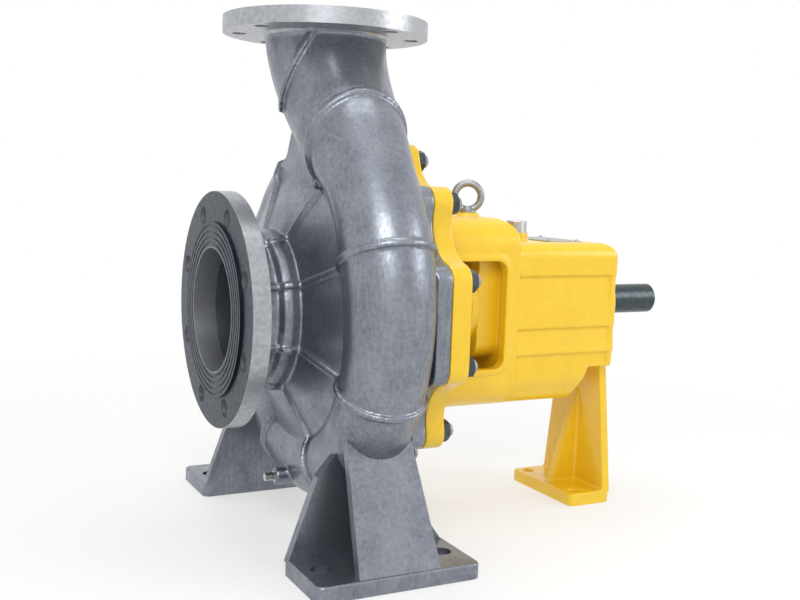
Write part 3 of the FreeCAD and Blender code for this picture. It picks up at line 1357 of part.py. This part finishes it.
def bare_plate():
    wide = size("plate_wide")
    top = "shaft_height + frame_top"
    node(box("Plate", ("plate_start", "-plate_wide / 2", top),
             ("plate_start + plate_long", "plate_wide / 2", top + " + plate_thick")), "bare_plate")
    rivet = Part.makeSphere(2.5, Vector(0, 0, 0)).cut(Part.makeBox(6, 6, 6, Vector(-3, -3, -6)))
    level = number_of(top + " + plate_thick")
    rivets = [Placement(Vector(x, y, level), Rotation())
              for x in (size("plate_start") + 5, size("plate_start") + size("plate_long") - 5)
              for y in (-wide / 2 + 5, wide / 2 - 5)]
    repeated("plate_rivets", rivet, rivets)


def sight_glass():
    tube = size("sight_radius") - size("sight_wall")
    foot = Vector(size("sight_place"), size("frame_half") + 3, size("shaft_height") - size("sight_low"))
    outward = Rotation(Vector(1, 0, 0), -90)
    bezel = hexagon(2 * size("sight_radius") - 4, 8).fuse(Part.makeCylinder(tube, 14, Vector(0, 0, -14)))
    bezel = bezel.cut(Part.makeCylinder(tube - 3, 30, Vector(0, 0, -15)))
    bezel.Placement = Placement(foot, outward)
    node(raw("Sight_bezel", bezel), "oil_sight_bezel")
    lens = Part.makeCylinder(tube - 3, 6)
    lens.Placement = Placement(foot, outward)
    node(raw("Sight_lens", lens), "oil_sight_lens")


def drain_plugs():
    height = size("shaft_height")
    long = size("plug_long")
    stem = Part.makeCylinder(size("drain_thread"), long, Vector(0, 0, -long))
    oil = hexagon(size("oil_plug_flat"), size("oil_plug_head")).fuse(stem)
    oil.Placement = Placement(Vector(size("oil_drain_place"), size("frame_half") + size("oil_drain_boss"),
                                     height - size("oil_drain_low")), Rotation(Vector(1, 0, 0), -90))
    node(raw("Oil_drain", oil), "oil_drain_plug")
    plug = hexagon(size("casing_plug_flat"), size("casing_plug_head")).fuse(stem)
    spot = Vector(-size("drain_face"), -size("drain_out"), height - size("drain_low"))
    plug.Placement = Placement(spot, AGAINST_X)
    node(raw("Casing_drain", plug), "casing_drain_plug")


# support foot under the drive end

def support_foot():
    height = size("shaft_height")
    front = size("support_front")
    back = size("frame_end") + size("support_web")
    half = size("support_half")
    thick = size("support_thick")
    web = size("support_web")
    plate = Part.makeBox(back - front, 2 * half, thick, Vector(front, -half, 0))
    plate = plate.makeFillet(7, [edge for edge in plate.Edges
                                 if abs(edge.Vertexes[0].Z - edge.Vertexes[1].Z) > thick / 2])
    low = thick - 2
    top = height - size("support_top")
    top_half = size("support_top_half")
    corners = [(-half, low), (half, low), (top_half, top), (-top_half, top), (-half, low)]
    wall = Part.makePolygon([Vector(back - web, y, z) for y, z in corners])
    wall = Part.Face(wall).extrude(Vector(web, 0, 0))
    edge = size("support_rib_edge")
    rib_top = size("support_rib_top")
    corners = [(edge, low), (back - 4, low), (back - 4, rib_top), (back - web - 1, rib_top), (edge, low)]
    rib = Part.makePolygon([Vector(x, -web / 2, z) for x, z in corners])
    rib = Part.Face(rib).extrude(Vector(0, web, 0))
    drills = [shaft_rod(size("outboard_cover_radius") + 1.5, 40, size("frame_end") - 10)]
    for side in (-1, 1):
        drills.append(Part.makeCylinder(size("support_hole") / 2, thick + 2, Vector(
            size("support_reach"), side * size("support_bolts_across") / 2, -1)))
        drills.append(shaft_rod(size("support_bolt_radius"), web + 2, back - web - 1,
                                side * size("support_bolt_out"), size("support_bolt_low")))
    node(raw("Support", plate.fuse([wall, rib]).cut(drills)), "support_foot")
    long = size("support_bolt_long")
    bolt = hexagon(size("support_bolt_flat"), size("support_bolt_head"))
    bolt = bolt.fuse(Part.makeCylinder(size("support_bolt_radius"), long, Vector(0, 0, -long)))
    places = [Placement(Vector(back, side * size("support_bolt_out"), height - size("support_bolt_low")), ON_X)
              for side in (-1, 1)]
    repeated("support_foot_bolts", bolt, places)


volute_casing()
impeller()
casing_cover()
joint_fasteners()
shaft_seal()
shaft()
ball_bearing("inboard", "inboard_start", "inboard_wide", 1)
ball_bearing("outboard", "outboard_start", "outboard_wide", 2)
bearing_covers()
lip_seals()
cover_fasteners()
shaft_fittings()
bearing_bracket()
eyebolt()
filler_cap()
bare_plate()
sight_glass()
drain_plugs()
support_foot()
doc.recompute()

failed = [thing.Name for thing in doc.Objects if "Invalid" in thing.State or "Error" in thing.State]
if failed:
    raise SystemExit("objects failed: " + ", ".join(failed))
os.makedirs("parts", exist_ok=True)
for thing in NODES:
    shape = thing.Shape
    if shape.isNull() or not shape.isValid():
        raise SystemExit(thing.Label + " has no valid shape")
    print(thing.Label, "solids", len(shape.Solids), "volume", round(shape.Volume))
    shape.exportStep("parts/" + thing.Label + ".step")
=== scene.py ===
# %% [markdown]
# # A process pump, dressed over its engineering model
# The imported model is loaded first and stays where it is. Everything below is in metres, in the
# same frame: X runs along the shaft from the suction flange to the coupling end, Z points up and
# the ground is Z = 0.

# %% Load the frame
import json
import math
import bmesh
import bpy
from mathutils import Matrix, Vector


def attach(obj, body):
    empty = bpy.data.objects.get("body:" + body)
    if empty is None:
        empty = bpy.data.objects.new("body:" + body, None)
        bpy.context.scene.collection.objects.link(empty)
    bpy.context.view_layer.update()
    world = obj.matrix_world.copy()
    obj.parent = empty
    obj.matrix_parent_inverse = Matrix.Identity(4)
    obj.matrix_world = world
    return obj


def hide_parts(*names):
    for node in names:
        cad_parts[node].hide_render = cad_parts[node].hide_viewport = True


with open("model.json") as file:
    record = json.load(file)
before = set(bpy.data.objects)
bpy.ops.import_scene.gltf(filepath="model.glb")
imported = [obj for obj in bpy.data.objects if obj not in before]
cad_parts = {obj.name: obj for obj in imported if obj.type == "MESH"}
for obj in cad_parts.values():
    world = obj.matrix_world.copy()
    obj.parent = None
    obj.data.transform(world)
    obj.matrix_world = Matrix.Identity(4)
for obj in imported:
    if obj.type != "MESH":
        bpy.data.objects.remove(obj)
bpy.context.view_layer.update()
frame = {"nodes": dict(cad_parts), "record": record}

nodes = frame["nodes"]
shaft_height = 0.280

# %% [markdown]
# ## Camera
# The photograph was taken from in front of the suction side, a little above the flange, and the
# camera was held slightly turned about its own axis. Its place and lens follow from the known
# circles of the flanges, so the angles here are the photograph's own.

# %% Camera
view_turn = math.radians(-27.49)
view_rise = math.radians(6.59)
view_roll = math.radians(1.94)
camera_place = Vector((-0.5174, -1.2153, 0.4442))
focal_length = 47.3


def look_axes(turn, rise, roll):
    """Right, up and backward axes of a camera that stands at an angle round and above the object."""
    back = Vector((math.sin(turn) * math.cos(rise), -math.cos(turn) * math.cos(rise), math.sin(rise)))
    right = (-back).cross(Vector((0, 0, 1))).normalized()
    up = right.cross(-back)
    tilted = right * math.cos(roll) + up * math.sin(roll)
    return tilted, back.cross(tilted), back


right, up, back = look_axes(view_turn, view_rise, view_roll)
camera = bpy.data.objects.new("camera", bpy.data.cameras.new("camera"))
camera.data.lens = focal_length
camera.data.sensor_width = 36
camera.matrix_world = Matrix.Translation(camera_place) @ Matrix((right, up, back)).transposed().to_4x4()
bpy.context.collection.objects.link(camera)
bpy.context.scene.camera = camera
print("camera at", tuple(camera_place), "lens", focal_length)

# %% [markdown]
# ## From solids to castings
# A sand casting has no sharp inner corners: metal fills every corner with a small radius. The
# solids meet in sharp lines, so a closed copy is rebuilt from small cubes, which also joins the
# ribs to the wall, and is then smoothed a little. What the machine shop has cut stays sharp: the
# two pipe flanges are cut off the copy first and keep the solid's own faces.

# %% Copies of solids
same_point = 1e-6
on_plane = 1e-7


def linked_object(name, mesh):
    thing = bpy.data.objects.new(name, mesh)
    bpy.context.collection.objects.link(thing)
    return thing


def merged_shell(node):
    """A closed copy of a solid's mesh, with the points that its faces share merged."""
    shell = bmesh.new()
    shell.from_mesh(nodes[node].data)
    bmesh.ops.remove_doubles(shell, verts=shell.verts, dist=same_point)
    return shell


def copied_solid(node, cuts):
    """A closed copy of a solid, kept on the side of each plane that its normal points to."""
    shell = merged_shell(node)
    for spot, normal in cuts:
        parts = shell.verts[:] + shell.edges[:] + shell.faces[:]
        made = bmesh.ops.bisect_plane(shell, geom=parts, plane_co=spot, plane_no=normal,
                                      dist=on_plane, clear_inner=True)
        rim = [part for part in made["geom_cut"] if isinstance(part, bmesh.types.BMEdge)]
        bmesh.ops.triangle_fill(shell, edges=rim, use_beauty=True)
    bmesh.ops.dissolve_degenerate(shell, dist=same_point, edges=shell.edges)
    bmesh.ops.recalc_face_normals(shell, faces=shell.faces)
    mesh = bpy.data.meshes.new(node + "_copy")
    shell.to_mesh(mesh)
    shell.free()
    return mesh


def joined(name, meshes):
    """Several closed copies in one mesh. Rebuilding it from cubes makes them one skin."""
    whole = bmesh.new()
    for mesh in meshes:
        whole.from_mesh(mesh)
    mesh = bpy.data.meshes.new(name)
    whole.to_mesh(mesh)
    whole.free()
    return mesh


print("points nearer than", same_point, "m are merged in a copy")

# %% Smoothing and edges
flat_turn = 0.002


def finished(thing):
    """The object's mesh with its modifiers carried out."""
    graph = bpy.context.evaluated_depsgraph_get()
    mesh = bpy.data.meshes.new_from_object(thing.evaluated_get(graph))
    thing.modifiers.clear()
    thing.data = mesh
    mesh.materials.clear()
    return thing


def smooth_by_angle(mesh, degrees):
    """Faces are shaded smooth, and edges steeper than the angle stay sharp."""
    mesh.shade_smooth()
    mesh.set_sharp_from_angle(angle=math.radians(degrees))


def crisp(mesh, degrees):
    """Triangles in one plane become one face, and each edge steeper than the angle is marked sharp."""
    shell = bmesh.new()
    shell.from_mesh(mesh)
    bmesh.ops.dissolve_limit(shell, angle_limit=flat_turn, verts=shell.verts, edges=shell.edges)
    for face in shell.faces:
        face.smooth = True
    for edge in shell.edges:
        edge.smooth = edge.calc_face_angle(0.0) < math.radians(degrees)
    shell.to_mesh(mesh)
    shell.free()


print("faces that turn less than", flat_turn, "radians become one face on a turned piece")

# %% Solids rebuilt as castings
soft_share = 0.5
most_triangles = 190000
casting_edge = 60


def triangle_count(mesh):
    return sum(len(face.vertices) - 2 for face in mesh.polygons)


def as_casting(name, mesh, cube, passes):
    """The solid rebuilt from cubes of a size, smoothed a number of times and thinned if too fine."""
    thing = linked_object(name, mesh)
    cubes = thing.modifiers.new("cubes", "REMESH")
    cubes.mode = "VOXEL"
    cubes.voxel_size = cube
    soft = thing.modifiers.new("soft", "SMOOTH")
    soft.factor = soft_share
    soft.iterations = passes
    finished(thing)
    count = triangle_count(thing.data)
    if count > most_triangles:
        thin = thing.modifiers.new("thin", "DECIMATE")
        thin.ratio = most_triangles / count
        finished(thing)
    smooth_by_angle(thing.data, casting_edge)
    print(name, "triangles", triangle_count(thing.data))
    return thing


print("a casting has at most", most_triangles, "triangles")

# %% [markdown]
# ## Volute casing
# The casing is one heavy stainless casting: the spiral channel swells round the impeller and runs
# into the swan neck. The solids hold it in three pieces, which are joined again here. Its flanges
# were turned on a lathe, so they are cut off in the flare behind their backs and stay crisp.

# %% Casing body
suction_flare = -0.1150
discharge_flare = 0.6120
casing_cube = 0.0018
casing_passes = 3
casing_copy = joined("casing_copy", [
    copied_solid("volute_casing", []),
    copied_solid("suction_nozzle", [((suction_flare, 0, 0), (1, 0, 0))]),
    copied_solid("discharge_nozzle", [((0, 0, discharge_flare), (0, 0, -1))])])
casing_body = as_casting("casing_casting", casing_copy, casing_cube, casing_passes)

# %% Turned flanges
overlap = 0.003
turned_edge = 30
suction_flange = linked_object("suction_flange_turned", copied_solid(
    "suction_nozzle", [((suction_flare + overlap, 0, 0), (-1, 0, 0))]))
discharge_flange = linked_object("discharge_flange_turned", copied_solid(
    "discharge_nozzle", [((0, 0, discharge_flare - overlap), (0, 0, 1))]))
for piece, node in ((casing_body, "volute_casing"), (suction_flange, "suction_nozzle"),
                    (discharge_flange, "discharge_nozzle")):
    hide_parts(node)
    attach(piece, "base")
for piece in (suction_flange, discharge_flange):
    crisp(piece.data, turned_edge)
    print(piece.name, "faces", len(piece.data.polygons))

# %% [markdown]
# ## Bearing bracket and support foot
# Both are grey iron castings under thick yellow paint, which rounds their edges still more. They
# are rebuilt in the same way with finer cubes.

# %% Bracket and support foot
painted_cube = 0.0016
painted_passes = 2
bracket = as_casting("bracket_casting", copied_solid("bearing_bracket", []), painted_cube,
                     painted_passes)
support = as_casting("support_casting", copied_solid("support_foot", []), painted_cube,
                     painted_passes)
for piece, node in ((bracket, "bearing_bracket"), (support, "support_foot")):
    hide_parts(node)
    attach(piece, "base")

# %% [markdown]
# ## Shared surface effects
# Two effects come back in most finishes: the grain that moulding sand leaves on cast metal, and
# the fine rings that a lathe leaves round the shaft axis. Each is a node group with its own
# inputs, so that every material can use it at its own scale.

# %% Node helpers
def new_group(name, inputs, outputs):
    group = bpy.data.node_groups.new(name, "ShaderNodeTree")
    for label, kind, value in inputs:
        socket = group.interface.new_socket(name=label, in_out="INPUT", socket_type=kind)
        socket.default_value = value
    for label, kind in outputs:
        group.interface.new_socket(name=label, in_out="OUTPUT", socket_type=kind)
    entry = group.nodes.new("NodeGroupInput")
    leave = group.nodes.new("NodeGroupOutput")
    return group, entry, leave


def maths(tree, operation, first, second=None, clamp=False):
    """One arithmetic node. Each value is a number or the socket that it comes from."""
    step = tree.nodes.new("ShaderNodeMath")
    step.operation = operation
    step.use_clamp = clamp
    for index, value in enumerate((first, second)):
        if value is None:
            continue
        if isinstance(value, (int, float)):
            step.inputs[index].default_value = value
        else:
            tree.links.new(value, step.inputs[index])
    return step.outputs[0]


def cloud(tree, place, scale, detail=4.0, roughness=0.6, stretch=None):
    """Soft noise at a number of cells for each metre, stretched if three factors are given."""
    if stretch is not None:
        mapping = tree.nodes.new("ShaderNodeMapping")
        mapping.inputs["Scale"].default_value = stretch
        tree.links.new(place, mapping.inputs["Vector"])
        place = mapping.outputs["Vector"]
    noise = tree.nodes.new("ShaderNodeTexNoise")
    noise.inputs["Detail"].default_value = detail
    noise.inputs["Roughness"].default_value = roughness
    if isinstance(scale, (int, float)):
        noise.inputs["Scale"].default_value = scale
    else:
        tree.links.new(scale, noise.inputs["Scale"])
    tree.links.new(place, noise.inputs["Vector"])
    return noise.outputs["Fac"]


print("helpers for node trees made")

# %% Sand grain
middle_grain = 0.22
broad_cells = 28.0
fine_height = 0.45
middle_height = 0.8
broad_height = 1.6
pit_start = 0.62
pit_depth = 6.0
brush_cells = 420.0
brush_stretch = (1.0, 1.0, 0.06)


def make_sand_grain():
    """Height: fine grain plus a broad swell. Tone: cloudy patches, brushed streaks and dark pits."""
    group, entry, leave = new_group(
        "sand_grain", [("Place", "NodeSocketVector", (0, 0, 0)), ("Grain", "NodeSocketFloat", 600.0),
                       ("Streaks", "NodeSocketFloat", 0.0)],
        [("Height", "NodeSocketFloat"), ("Tone", "NodeSocketFloat")])
    place = entry.outputs["Place"]
    fine = cloud(group, place, entry.outputs["Grain"], 6.0, 0.7)
    middle_cells = maths(group, "MULTIPLY", entry.outputs["Grain"], middle_grain)
    middle = cloud(group, place, middle_cells, 4.0, 0.6)
    broad = cloud(group, place, broad_cells, 3.0, 0.5)
    height = maths(group, "ADD", maths(group, "MULTIPLY", fine, fine_height),
                   maths(group, "MULTIPLY", middle, middle_height))
    height = maths(group, "ADD", height, maths(group, "MULTIPLY", broad, broad_height))
    deep = maths(group, "MULTIPLY", maths(group, "SUBTRACT", fine, pit_start), pit_depth, clamp=True)
    pits = maths(group, "SUBTRACT", 1.0, deep)
    patches = maths(group, "ADD", maths(group, "MULTIPLY", middle, 0.5), maths(group, "MULTIPLY", broad, 0.5))
    streaks = cloud(group, place, brush_cells, 5.0, 0.7, brush_stretch)
    brushed = maths(group, "SUBTRACT", streaks, 0.5)
    patches = maths(group, "ADD", patches, maths(group, "MULTIPLY", brushed, entry.outputs["Streaks"]))
    group.links.new(height, leave.inputs["Height"])
    group.links.new(maths(group, "MULTIPLY", patches, pits, clamp=True), leave.inputs["Tone"])
    return group


sand_grain = make_sand_grain()
print("group:", sand_grain.name)

# %% Lathe rings
patch_cells = 160.0


def make_lathe_rings():
    """Height: fine waves in the distance from the shaft axis and along it, broken by soft noise."""
    group, entry, leave = new_group(
        "lathe_rings", [("Place", "NodeSocketVector", (0, 0, 0)), ("Rings", "NodeSocketFloat", 1100.0)],
        [("Height", "NodeSocketFloat"), ("Tone", "NodeSocketFloat"), ("Radius", "NodeSocketFloat")])
    parts = group.nodes.new("ShaderNodeSeparateXYZ")
    group.links.new(entry.outputs["Place"], parts.inputs[0])
    over = maths(group, "SUBTRACT", parts.outputs["Z"], shaft_height)
    side = parts.outputs["Y"]
    squares = maths(group, "ADD", maths(group, "MULTIPLY", side, side), maths(group, "MULTIPLY", over, over))
    out = maths(group, "SQRT", squares)
    group.links.new(out, leave.inputs["Radius"])
    along = maths(group, "ADD", out, parts.outputs["X"])
    turns = maths(group, "MULTIPLY", entry.outputs["Rings"], 2 * math.pi)
    wave = maths(group, "SINE", maths(group, "MULTIPLY", along, turns))
    patch = cloud(group, entry.outputs["Place"], patch_cells, 4.0, 0.6)
    group.links.new(maths(group, "MULTIPLY", wave, patch), leave.inputs["Height"])
    group.links.new(patch, leave.inputs["Tone"])
    return group


lathe_rings = make_lathe_rings()
print("group:", lathe_rings.name)

# %% [markdown]
# ## Finishes
# Each finish is a Principled surface. A ramp turns an effect's tone into colour, a Map Range turns
# it into roughness, and its height goes through a Bump node.

# %% Parts of a finish
tone_low = 0.3
tone_high = 0.7
coat_rough = 0.08


def new_finish(name, metallic, coat=0.0):
    material = bpy.data.materials.new(name)
    material.use_nodes = True
    tree = material.node_tree
    shader = tree.nodes["Principled BSDF"]
    shader.inputs["Metallic"].default_value = metallic
    shader.inputs["Coat Weight"].default_value = coat
    shader.inputs["Coat Roughness"].default_value = coat_rough
    place = tree.nodes.new("ShaderNodeTexCoord").outputs["Object"]
    return material, tree, shader, place


def placed(tree, group, place, **values):
    node = tree.nodes.new("ShaderNodeGroup")
    node.node_tree = group
    tree.links.new(place, node.inputs["Place"])
    for label, value in values.items():
        node.inputs[label].default_value = value
    return node


def ramp(tree, amount, stops):
    """Colours laid out along an amount from 0 to 1."""
    step = tree.nodes.new("ShaderNodeValToRGB")
    elements = step.color_ramp.elements
    while len(elements) < len(stops):
        elements.new(0.5)
    for element, (where, colour) in zip(elements, stops):
        element.position = where
        element.color = (*colour, 1.0)
    tree.links.new(amount, step.inputs["Fac"])
    return step.outputs["Color"]


def spread(tree, amount, low, high, start=tone_low, end=tone_high):
    """A value that goes from low to high while the amount goes from start to end."""
    step = tree.nodes.new("ShaderNodeMapRange")
    for label, value in (("From Min", start), ("From Max", end), ("To Min", low), ("To Max", high)):
        step.inputs[label].default_value = value
    tree.links.new(amount, step.inputs["Value"])
    return step.outputs["Result"]


def bumped(tree, shader, height, strength, distance):
    bump = tree.nodes.new("ShaderNodeBump")
    bump.inputs["Strength"].default_value = strength
    bump.inputs["Distance"].default_value = distance
    tree.links.new(height, bump.inputs["Height"])
    tree.links.new(bump.outputs["Normal"], shader.inputs["Normal"])


print("a tone is read from", tone_low, "to", tone_high)

# %% A finish from an effect
def effect_finish(name, group, dark, pale, metallic, rough, strength, distance, coat=0.0, **values):
    """A finish whose colour and roughness both follow the tone of one effect."""
    material, tree, shader, place = new_finish(name, metallic, coat)
    effect = placed(tree, group, place, **values)
    colour = ramp(tree, effect.outputs["Tone"], [(tone_low, dark), (tone_high, pale)])
    tree.links.new(colour, shader.inputs["Base Color"])
    tree.links.new(spread(tree, effect.outputs["Tone"], rough[1], rough[0]), shader.inputs["Roughness"])
    bumped(tree, shader, effect.outputs["Height"], strength, distance)
    return material


print("colour, roughness and height come from one effect")

# %% [markdown]
# ## Metal, paint and seals
# Cast metal is dull with faint streaks, and the paint has a thin coat. The shaft is dark and turned
# pieces are bright, and both show fine rings. Screws, studs and nuts have a grey or a dark finish.
# Seals and gasket are nearly black.

# %% Metal and paint
cast_finish = effect_finish("blasted_casting", sand_grain, (0.15, 0.165, 0.20), (0.30, 0.32, 0.36), 0.88,
                            (0.27, 0.42), 0.25, 0.0004, Grain=900.0, Streaks=0.55)
paint_finish = effect_finish("yellow_paint", sand_grain, (0.80, 0.50, 0.010), (0.88, 0.58, 0.016), 0.0,
                             (0.26, 0.40), 0.3, 0.0005, coat=0.35, Grain=420.0)
shaft_finish = effect_finish("ground_shaft", lathe_rings, (0.045, 0.058, 0.066), (0.075, 0.092, 0.10), 0.85,
                             (0.26, 0.36), 0.2, 0.00012, Rings=500.0)
turned_finish = effect_finish("turned_steel", lathe_rings, (0.40, 0.40, 0.39), (0.58, 0.58, 0.57), 0.95,
                              (0.22, 0.34), 0.25, 0.0002, Rings=1200.0)
zinc_finish = effect_finish("zinc_plate", sand_grain, (0.24, 0.25, 0.26), (0.42, 0.43, 0.44), 0.9,
                            (0.38, 0.5), 0.2, 0.0003, Grain=1500.0)
nut_finish = effect_finish("dark_nut", sand_grain, (0.035, 0.04, 0.045), (0.10, 0.11, 0.12), 0.8,
                           (0.3, 0.45), 0.25, 0.0003, Grain=1300.0)
bearing_finish = effect_finish("bearing_steel", lathe_rings, (0.58, 0.59, 0.60), (0.72, 0.73, 0.74), 1.0,
                               (0.1, 0.18), 0.1, 0.0001, Rings=1800.0)
brass_finish = effect_finish("brass_cage", lathe_rings, (0.50, 0.33, 0.11), (0.66, 0.46, 0.17), 1.0,
                             (0.24, 0.36), 0.2, 0.0002, Rings=1300.0)
plate_finish = effect_finish("bare_sheet", sand_grain, (0.33, 0.34, 0.34), (0.46, 0.47, 0.47), 0.85,
                             (0.35, 0.5), 0.1, 0.0002, Grain=900.0)
print("metal and paint made")

# %% Seals and gasket
carbon_finish = effect_finish("seal_carbon", lathe_rings, (0.012, 0.012, 0.013), (0.03, 0.03, 0.032), 0.1,
                              (0.25, 0.4), 0.1, 0.0001, Rings=1500.0)
gasket_finish = effect_finish("graphite_sheet", sand_grain, (0.02, 0.02, 0.022), (0.05, 0.05, 0.054), 0.1,
                              (0.5, 0.7), 0.2, 0.0002, Grain=1500.0)
rubber_finish = effect_finish("seal_rubber", sand_grain, (0.008, 0.008, 0.009), (0.02, 0.02, 0.021), 0.0,
                              (0.45, 0.6), 0.15, 0.0002, Grain=1500.0)
print("seals and gasket made")

# %% [markdown]
# ## Turned flange
# The face towards the pipe was turned with fine rings. Its dark colour is a painted dark
# reflection, as of polished metal that mirrors dark surroundings. The bore, the bolt holes and the rim
# are bright metal. The painted dark is therefore kept to a thin zone along the shaft, at the
# flange's front, and to the radii between the bore and the rim. The discharge flange takes the same
# finish and lies outside that zone, so it is bright all over.

# %% Where the flange has a painted dark reflection
face_front = -0.1365
rim_radius = 0.1418
bore_radius = 0.0756
flange_finish, flange_tree, flange_shader, flange_place = new_finish("turned_flange", 0.85)
flange_rings = placed(flange_tree, lathe_rings, flange_place, Rings=280.0)
flange_spot = flange_tree.nodes.new("ShaderNodeSeparateXYZ")
flange_tree.links.new(flange_place, flange_spot.inputs[0])
# Mask of the painted dark reflection: the flange face, in front of face_front and between the bore and the
# rim.
at_front = maths(flange_tree, "LESS_THAN", flange_spot.outputs["X"], face_front)
in_rim = maths(flange_tree, "LESS_THAN", flange_rings.outputs["Radius"], rim_radius)
past_bore = maths(flange_tree, "GREATER_THAN", flange_rings.outputs["Radius"], bore_radius)
dark_reflection_zone = maths(flange_tree, "MULTIPLY", at_front, maths(flange_tree, "MULTIPLY", in_rim, past_bore))
print("dark where X is below", face_front, "and the radius from", bore_radius, "to", rim_radius)

# %% Colours of the flange
flange_tone = flange_rings.outputs["Tone"]
bright_metal = ramp(flange_tree, flange_tone,
                    [(tone_low, (0.33, 0.345, 0.37)), (tone_high, (0.47, 0.485, 0.51))])
# Painted dark reflection: the face's colour is darkened as if the polished metal mirrored dark surroundings.
painted_dark_reflection = ramp(flange_tree, flange_tone,
                  [(tone_low, (0.012, 0.022, 0.036)), (tone_high, (0.024, 0.040, 0.060))])
flange_colour = flange_tree.nodes.new("ShaderNodeMix")
flange_colour.data_type = "RGBA"
flange_tree.links.new(dark_reflection_zone, flange_colour.inputs["Factor"])
flange_tree.links.new(bright_metal, flange_colour.inputs[6])
flange_tree.links.new(painted_dark_reflection, flange_colour.inputs[7])
flange_tree.links.new(flange_colour.outputs[2], flange_shader.inputs["Base Color"])
flange_rough = spread(flange_tree, flange_tone, 0.42, 0.3)
flange_tree.links.new(flange_rough, flange_shader.inputs["Roughness"])
bumped(flange_tree, flange_shader, flange_rings.outputs["Height"], 0.15, 0.0002)
print("flange finish made")

# %% [markdown]
# ## Sight glass
# The oil sight glass is a small lens on the far side. It is nearly clear and its polish is slightly
# uneven, so that it reads as glass.

# %% Sight glass
polish_cells = 300.0
glass_finish, glass_tree, glass_shader, glass_place = new_finish("sight_glass", 0.0)
glass_shader.inputs["Transmission Weight"].default_value = 0.9
glass_shader.inputs["Base Color"].default_value = (0.82, 0.86, 0.84, 1)
polish = spread(glass_tree, cloud(glass_tree, glass_place, polish_cells), 0.02, 0.09)
glass_tree.links.new(polish, glass_shader.inputs["Roughness"])
print("glass made")

# %% [markdown]
# ## Dressing
# The record names a slot for every solid, and each slot has one finish. The pieces made above get
# theirs one by one, because the two flanges have a finish of their own.

# %% Give every shown solid and piece its finish
SLOT_FINISH = {
    "cast_steel": cast_finish, "turned_steel": turned_finish, "fastener_steel": zinc_finish,
    "dark_fastener": nut_finish, "bearing_steel": bearing_finish, "shaft_steel": shaft_finish,
    "plate_steel": plate_finish, "yellow_paint": paint_finish, "gasket": gasket_finish,
    "carbon": carbon_finish, "seal_rubber": rubber_finish, "brass_cage": brass_finish,
    "sight_glass": glass_finish,
}


def dress(thing, finish):
    thing.data.materials.clear()
    thing.data.materials.append(finish)


for entry in frame["record"]["subparts"]:
    solid = nodes[entry["node"]]
    solid.material_slots[0].material = SLOT_FINISH[entry["material_slot"]]
dress(casing_body, cast_finish)
dress(suction_flange, flange_finish)
dress(discharge_flange, flange_finish)
dress(bracket, paint_finish)
dress(support, paint_finish)

# %% [markdown]
# ## Studio
# A pale floor and large soft lamps, as for a catalogue picture. The floor is partly a shaded
# surface, which keeps the pump's shadow, and partly a white glow that grows with the distance, so
# that no edge shows. The glow isn't limited to the camera, so it lights the pump too. The world is
# white to the camera, to metal and to glass, and dimmer to everything else.

# %% Floor
floor_size = 14
floor_drop = 0.0006
glow_near = 0.55
glow_far = 1.0
glow_start = 0.5
glow_end = 1.3
bpy.ops.mesh.primitive_plane_add(size=floor_size, location=(0, 0, -floor_drop))
floor = bpy.context.object
floor.name = "floor"
floor_finish = bpy.data.materials.new("pale_floor")
floor_finish.use_nodes = True
floor_tree = floor_finish.node_tree
floor_shader = floor_tree.nodes["Principled BSDF"]
floor_shader.inputs["Base Color"].default_value = (0.9, 0.9, 0.9, 1)
floor_shader.inputs["Roughness"].default_value = 0.9
floor_spot = floor_tree.nodes.new("ShaderNodeTexCoord").outputs["Object"]
floor_reach = floor_tree.nodes.new("ShaderNodeVectorMath")
floor_reach.operation = "LENGTH"
floor_tree.links.new(floor_spot, floor_reach.inputs[0])
far_white = floor_tree.nodes.new("ShaderNodeEmission")
blend = floor_tree.nodes.new("ShaderNodeMixShader")
glow = spread(floor_tree, floor_reach.outputs["Value"], glow_near, glow_far, glow_start, glow_end)
floor_tree.links.new(glow, blend.inputs["Fac"])
floor_tree.links.new(floor_shader.outputs[0], blend.inputs[1])
floor_tree.links.new(far_white.outputs[0], blend.inputs[2])
floor_tree.links.new(blend.outputs[0], floor_tree.nodes["Material Output"].inputs["Surface"])
floor.data.materials.append(floor_finish)
print("floor is all glow from", glow_end, "m out")

# %% World
seen_strength = 1.0
given_strength = 0.55


def camera_or_light(tree, seen, given):
    """Strength with one value for what sees the world and another for what it lights."""
    rays = tree.nodes.new("ShaderNodeLightPath")
    sees = maths(tree, "MAXIMUM", rays.outputs["Is Camera Ray"], rays.outputs["Is Glossy Ray"])
    sees = maths(tree, "MAXIMUM", sees, rays.outputs["Is Transmission Ray"])
    return maths(tree, "ADD", maths(tree, "MULTIPLY", sees, seen - given), given)


world = bpy.data.worlds.new("studio")
bpy.context.scene.world = world
world.use_nodes = True
world_tree = world.node_tree
world_light = world_tree.nodes["Background"]
world_light.inputs["Color"].default_value = (1, 1, 1, 1)
world_strength = camera_or_light(world_tree, seen_strength, given_strength)
world_tree.links.new(world_strength, world_light.inputs["Strength"])
print("world lights with a strength of", given_strength)

# %% Lamps
def soft_lamp(name, place, target, size, power):
    lamp = bpy.data.objects.new(name, bpy.data.lights.new(name, "AREA"))
    lamp.data.shape = "SQUARE"
    lamp.data.size = size
    lamp.data.energy = power
    lamp.location = place
    lamp.rotation_euler = (Vector(target) - Vector(place)).to_track_quat("-Z", "Y").to_euler()
    bpy.context.collection.objects.link(lamp)


pump_middle = (0.1, 0, 0.3)
soft_lamp("key", (-0.9, -1.9, 1.8), pump_middle, 1.1, 26)
soft_lamp("side", (1.9, -1.2, 1.1), pump_middle, 1.0, 12)
soft_lamp("top", (0.1, 0.3, 2.3), pump_middle, 1.4, 20)
bpy.context.scene.view_settings.view_transform = "Standard"
print("lamps:", len(bpy.data.lights))
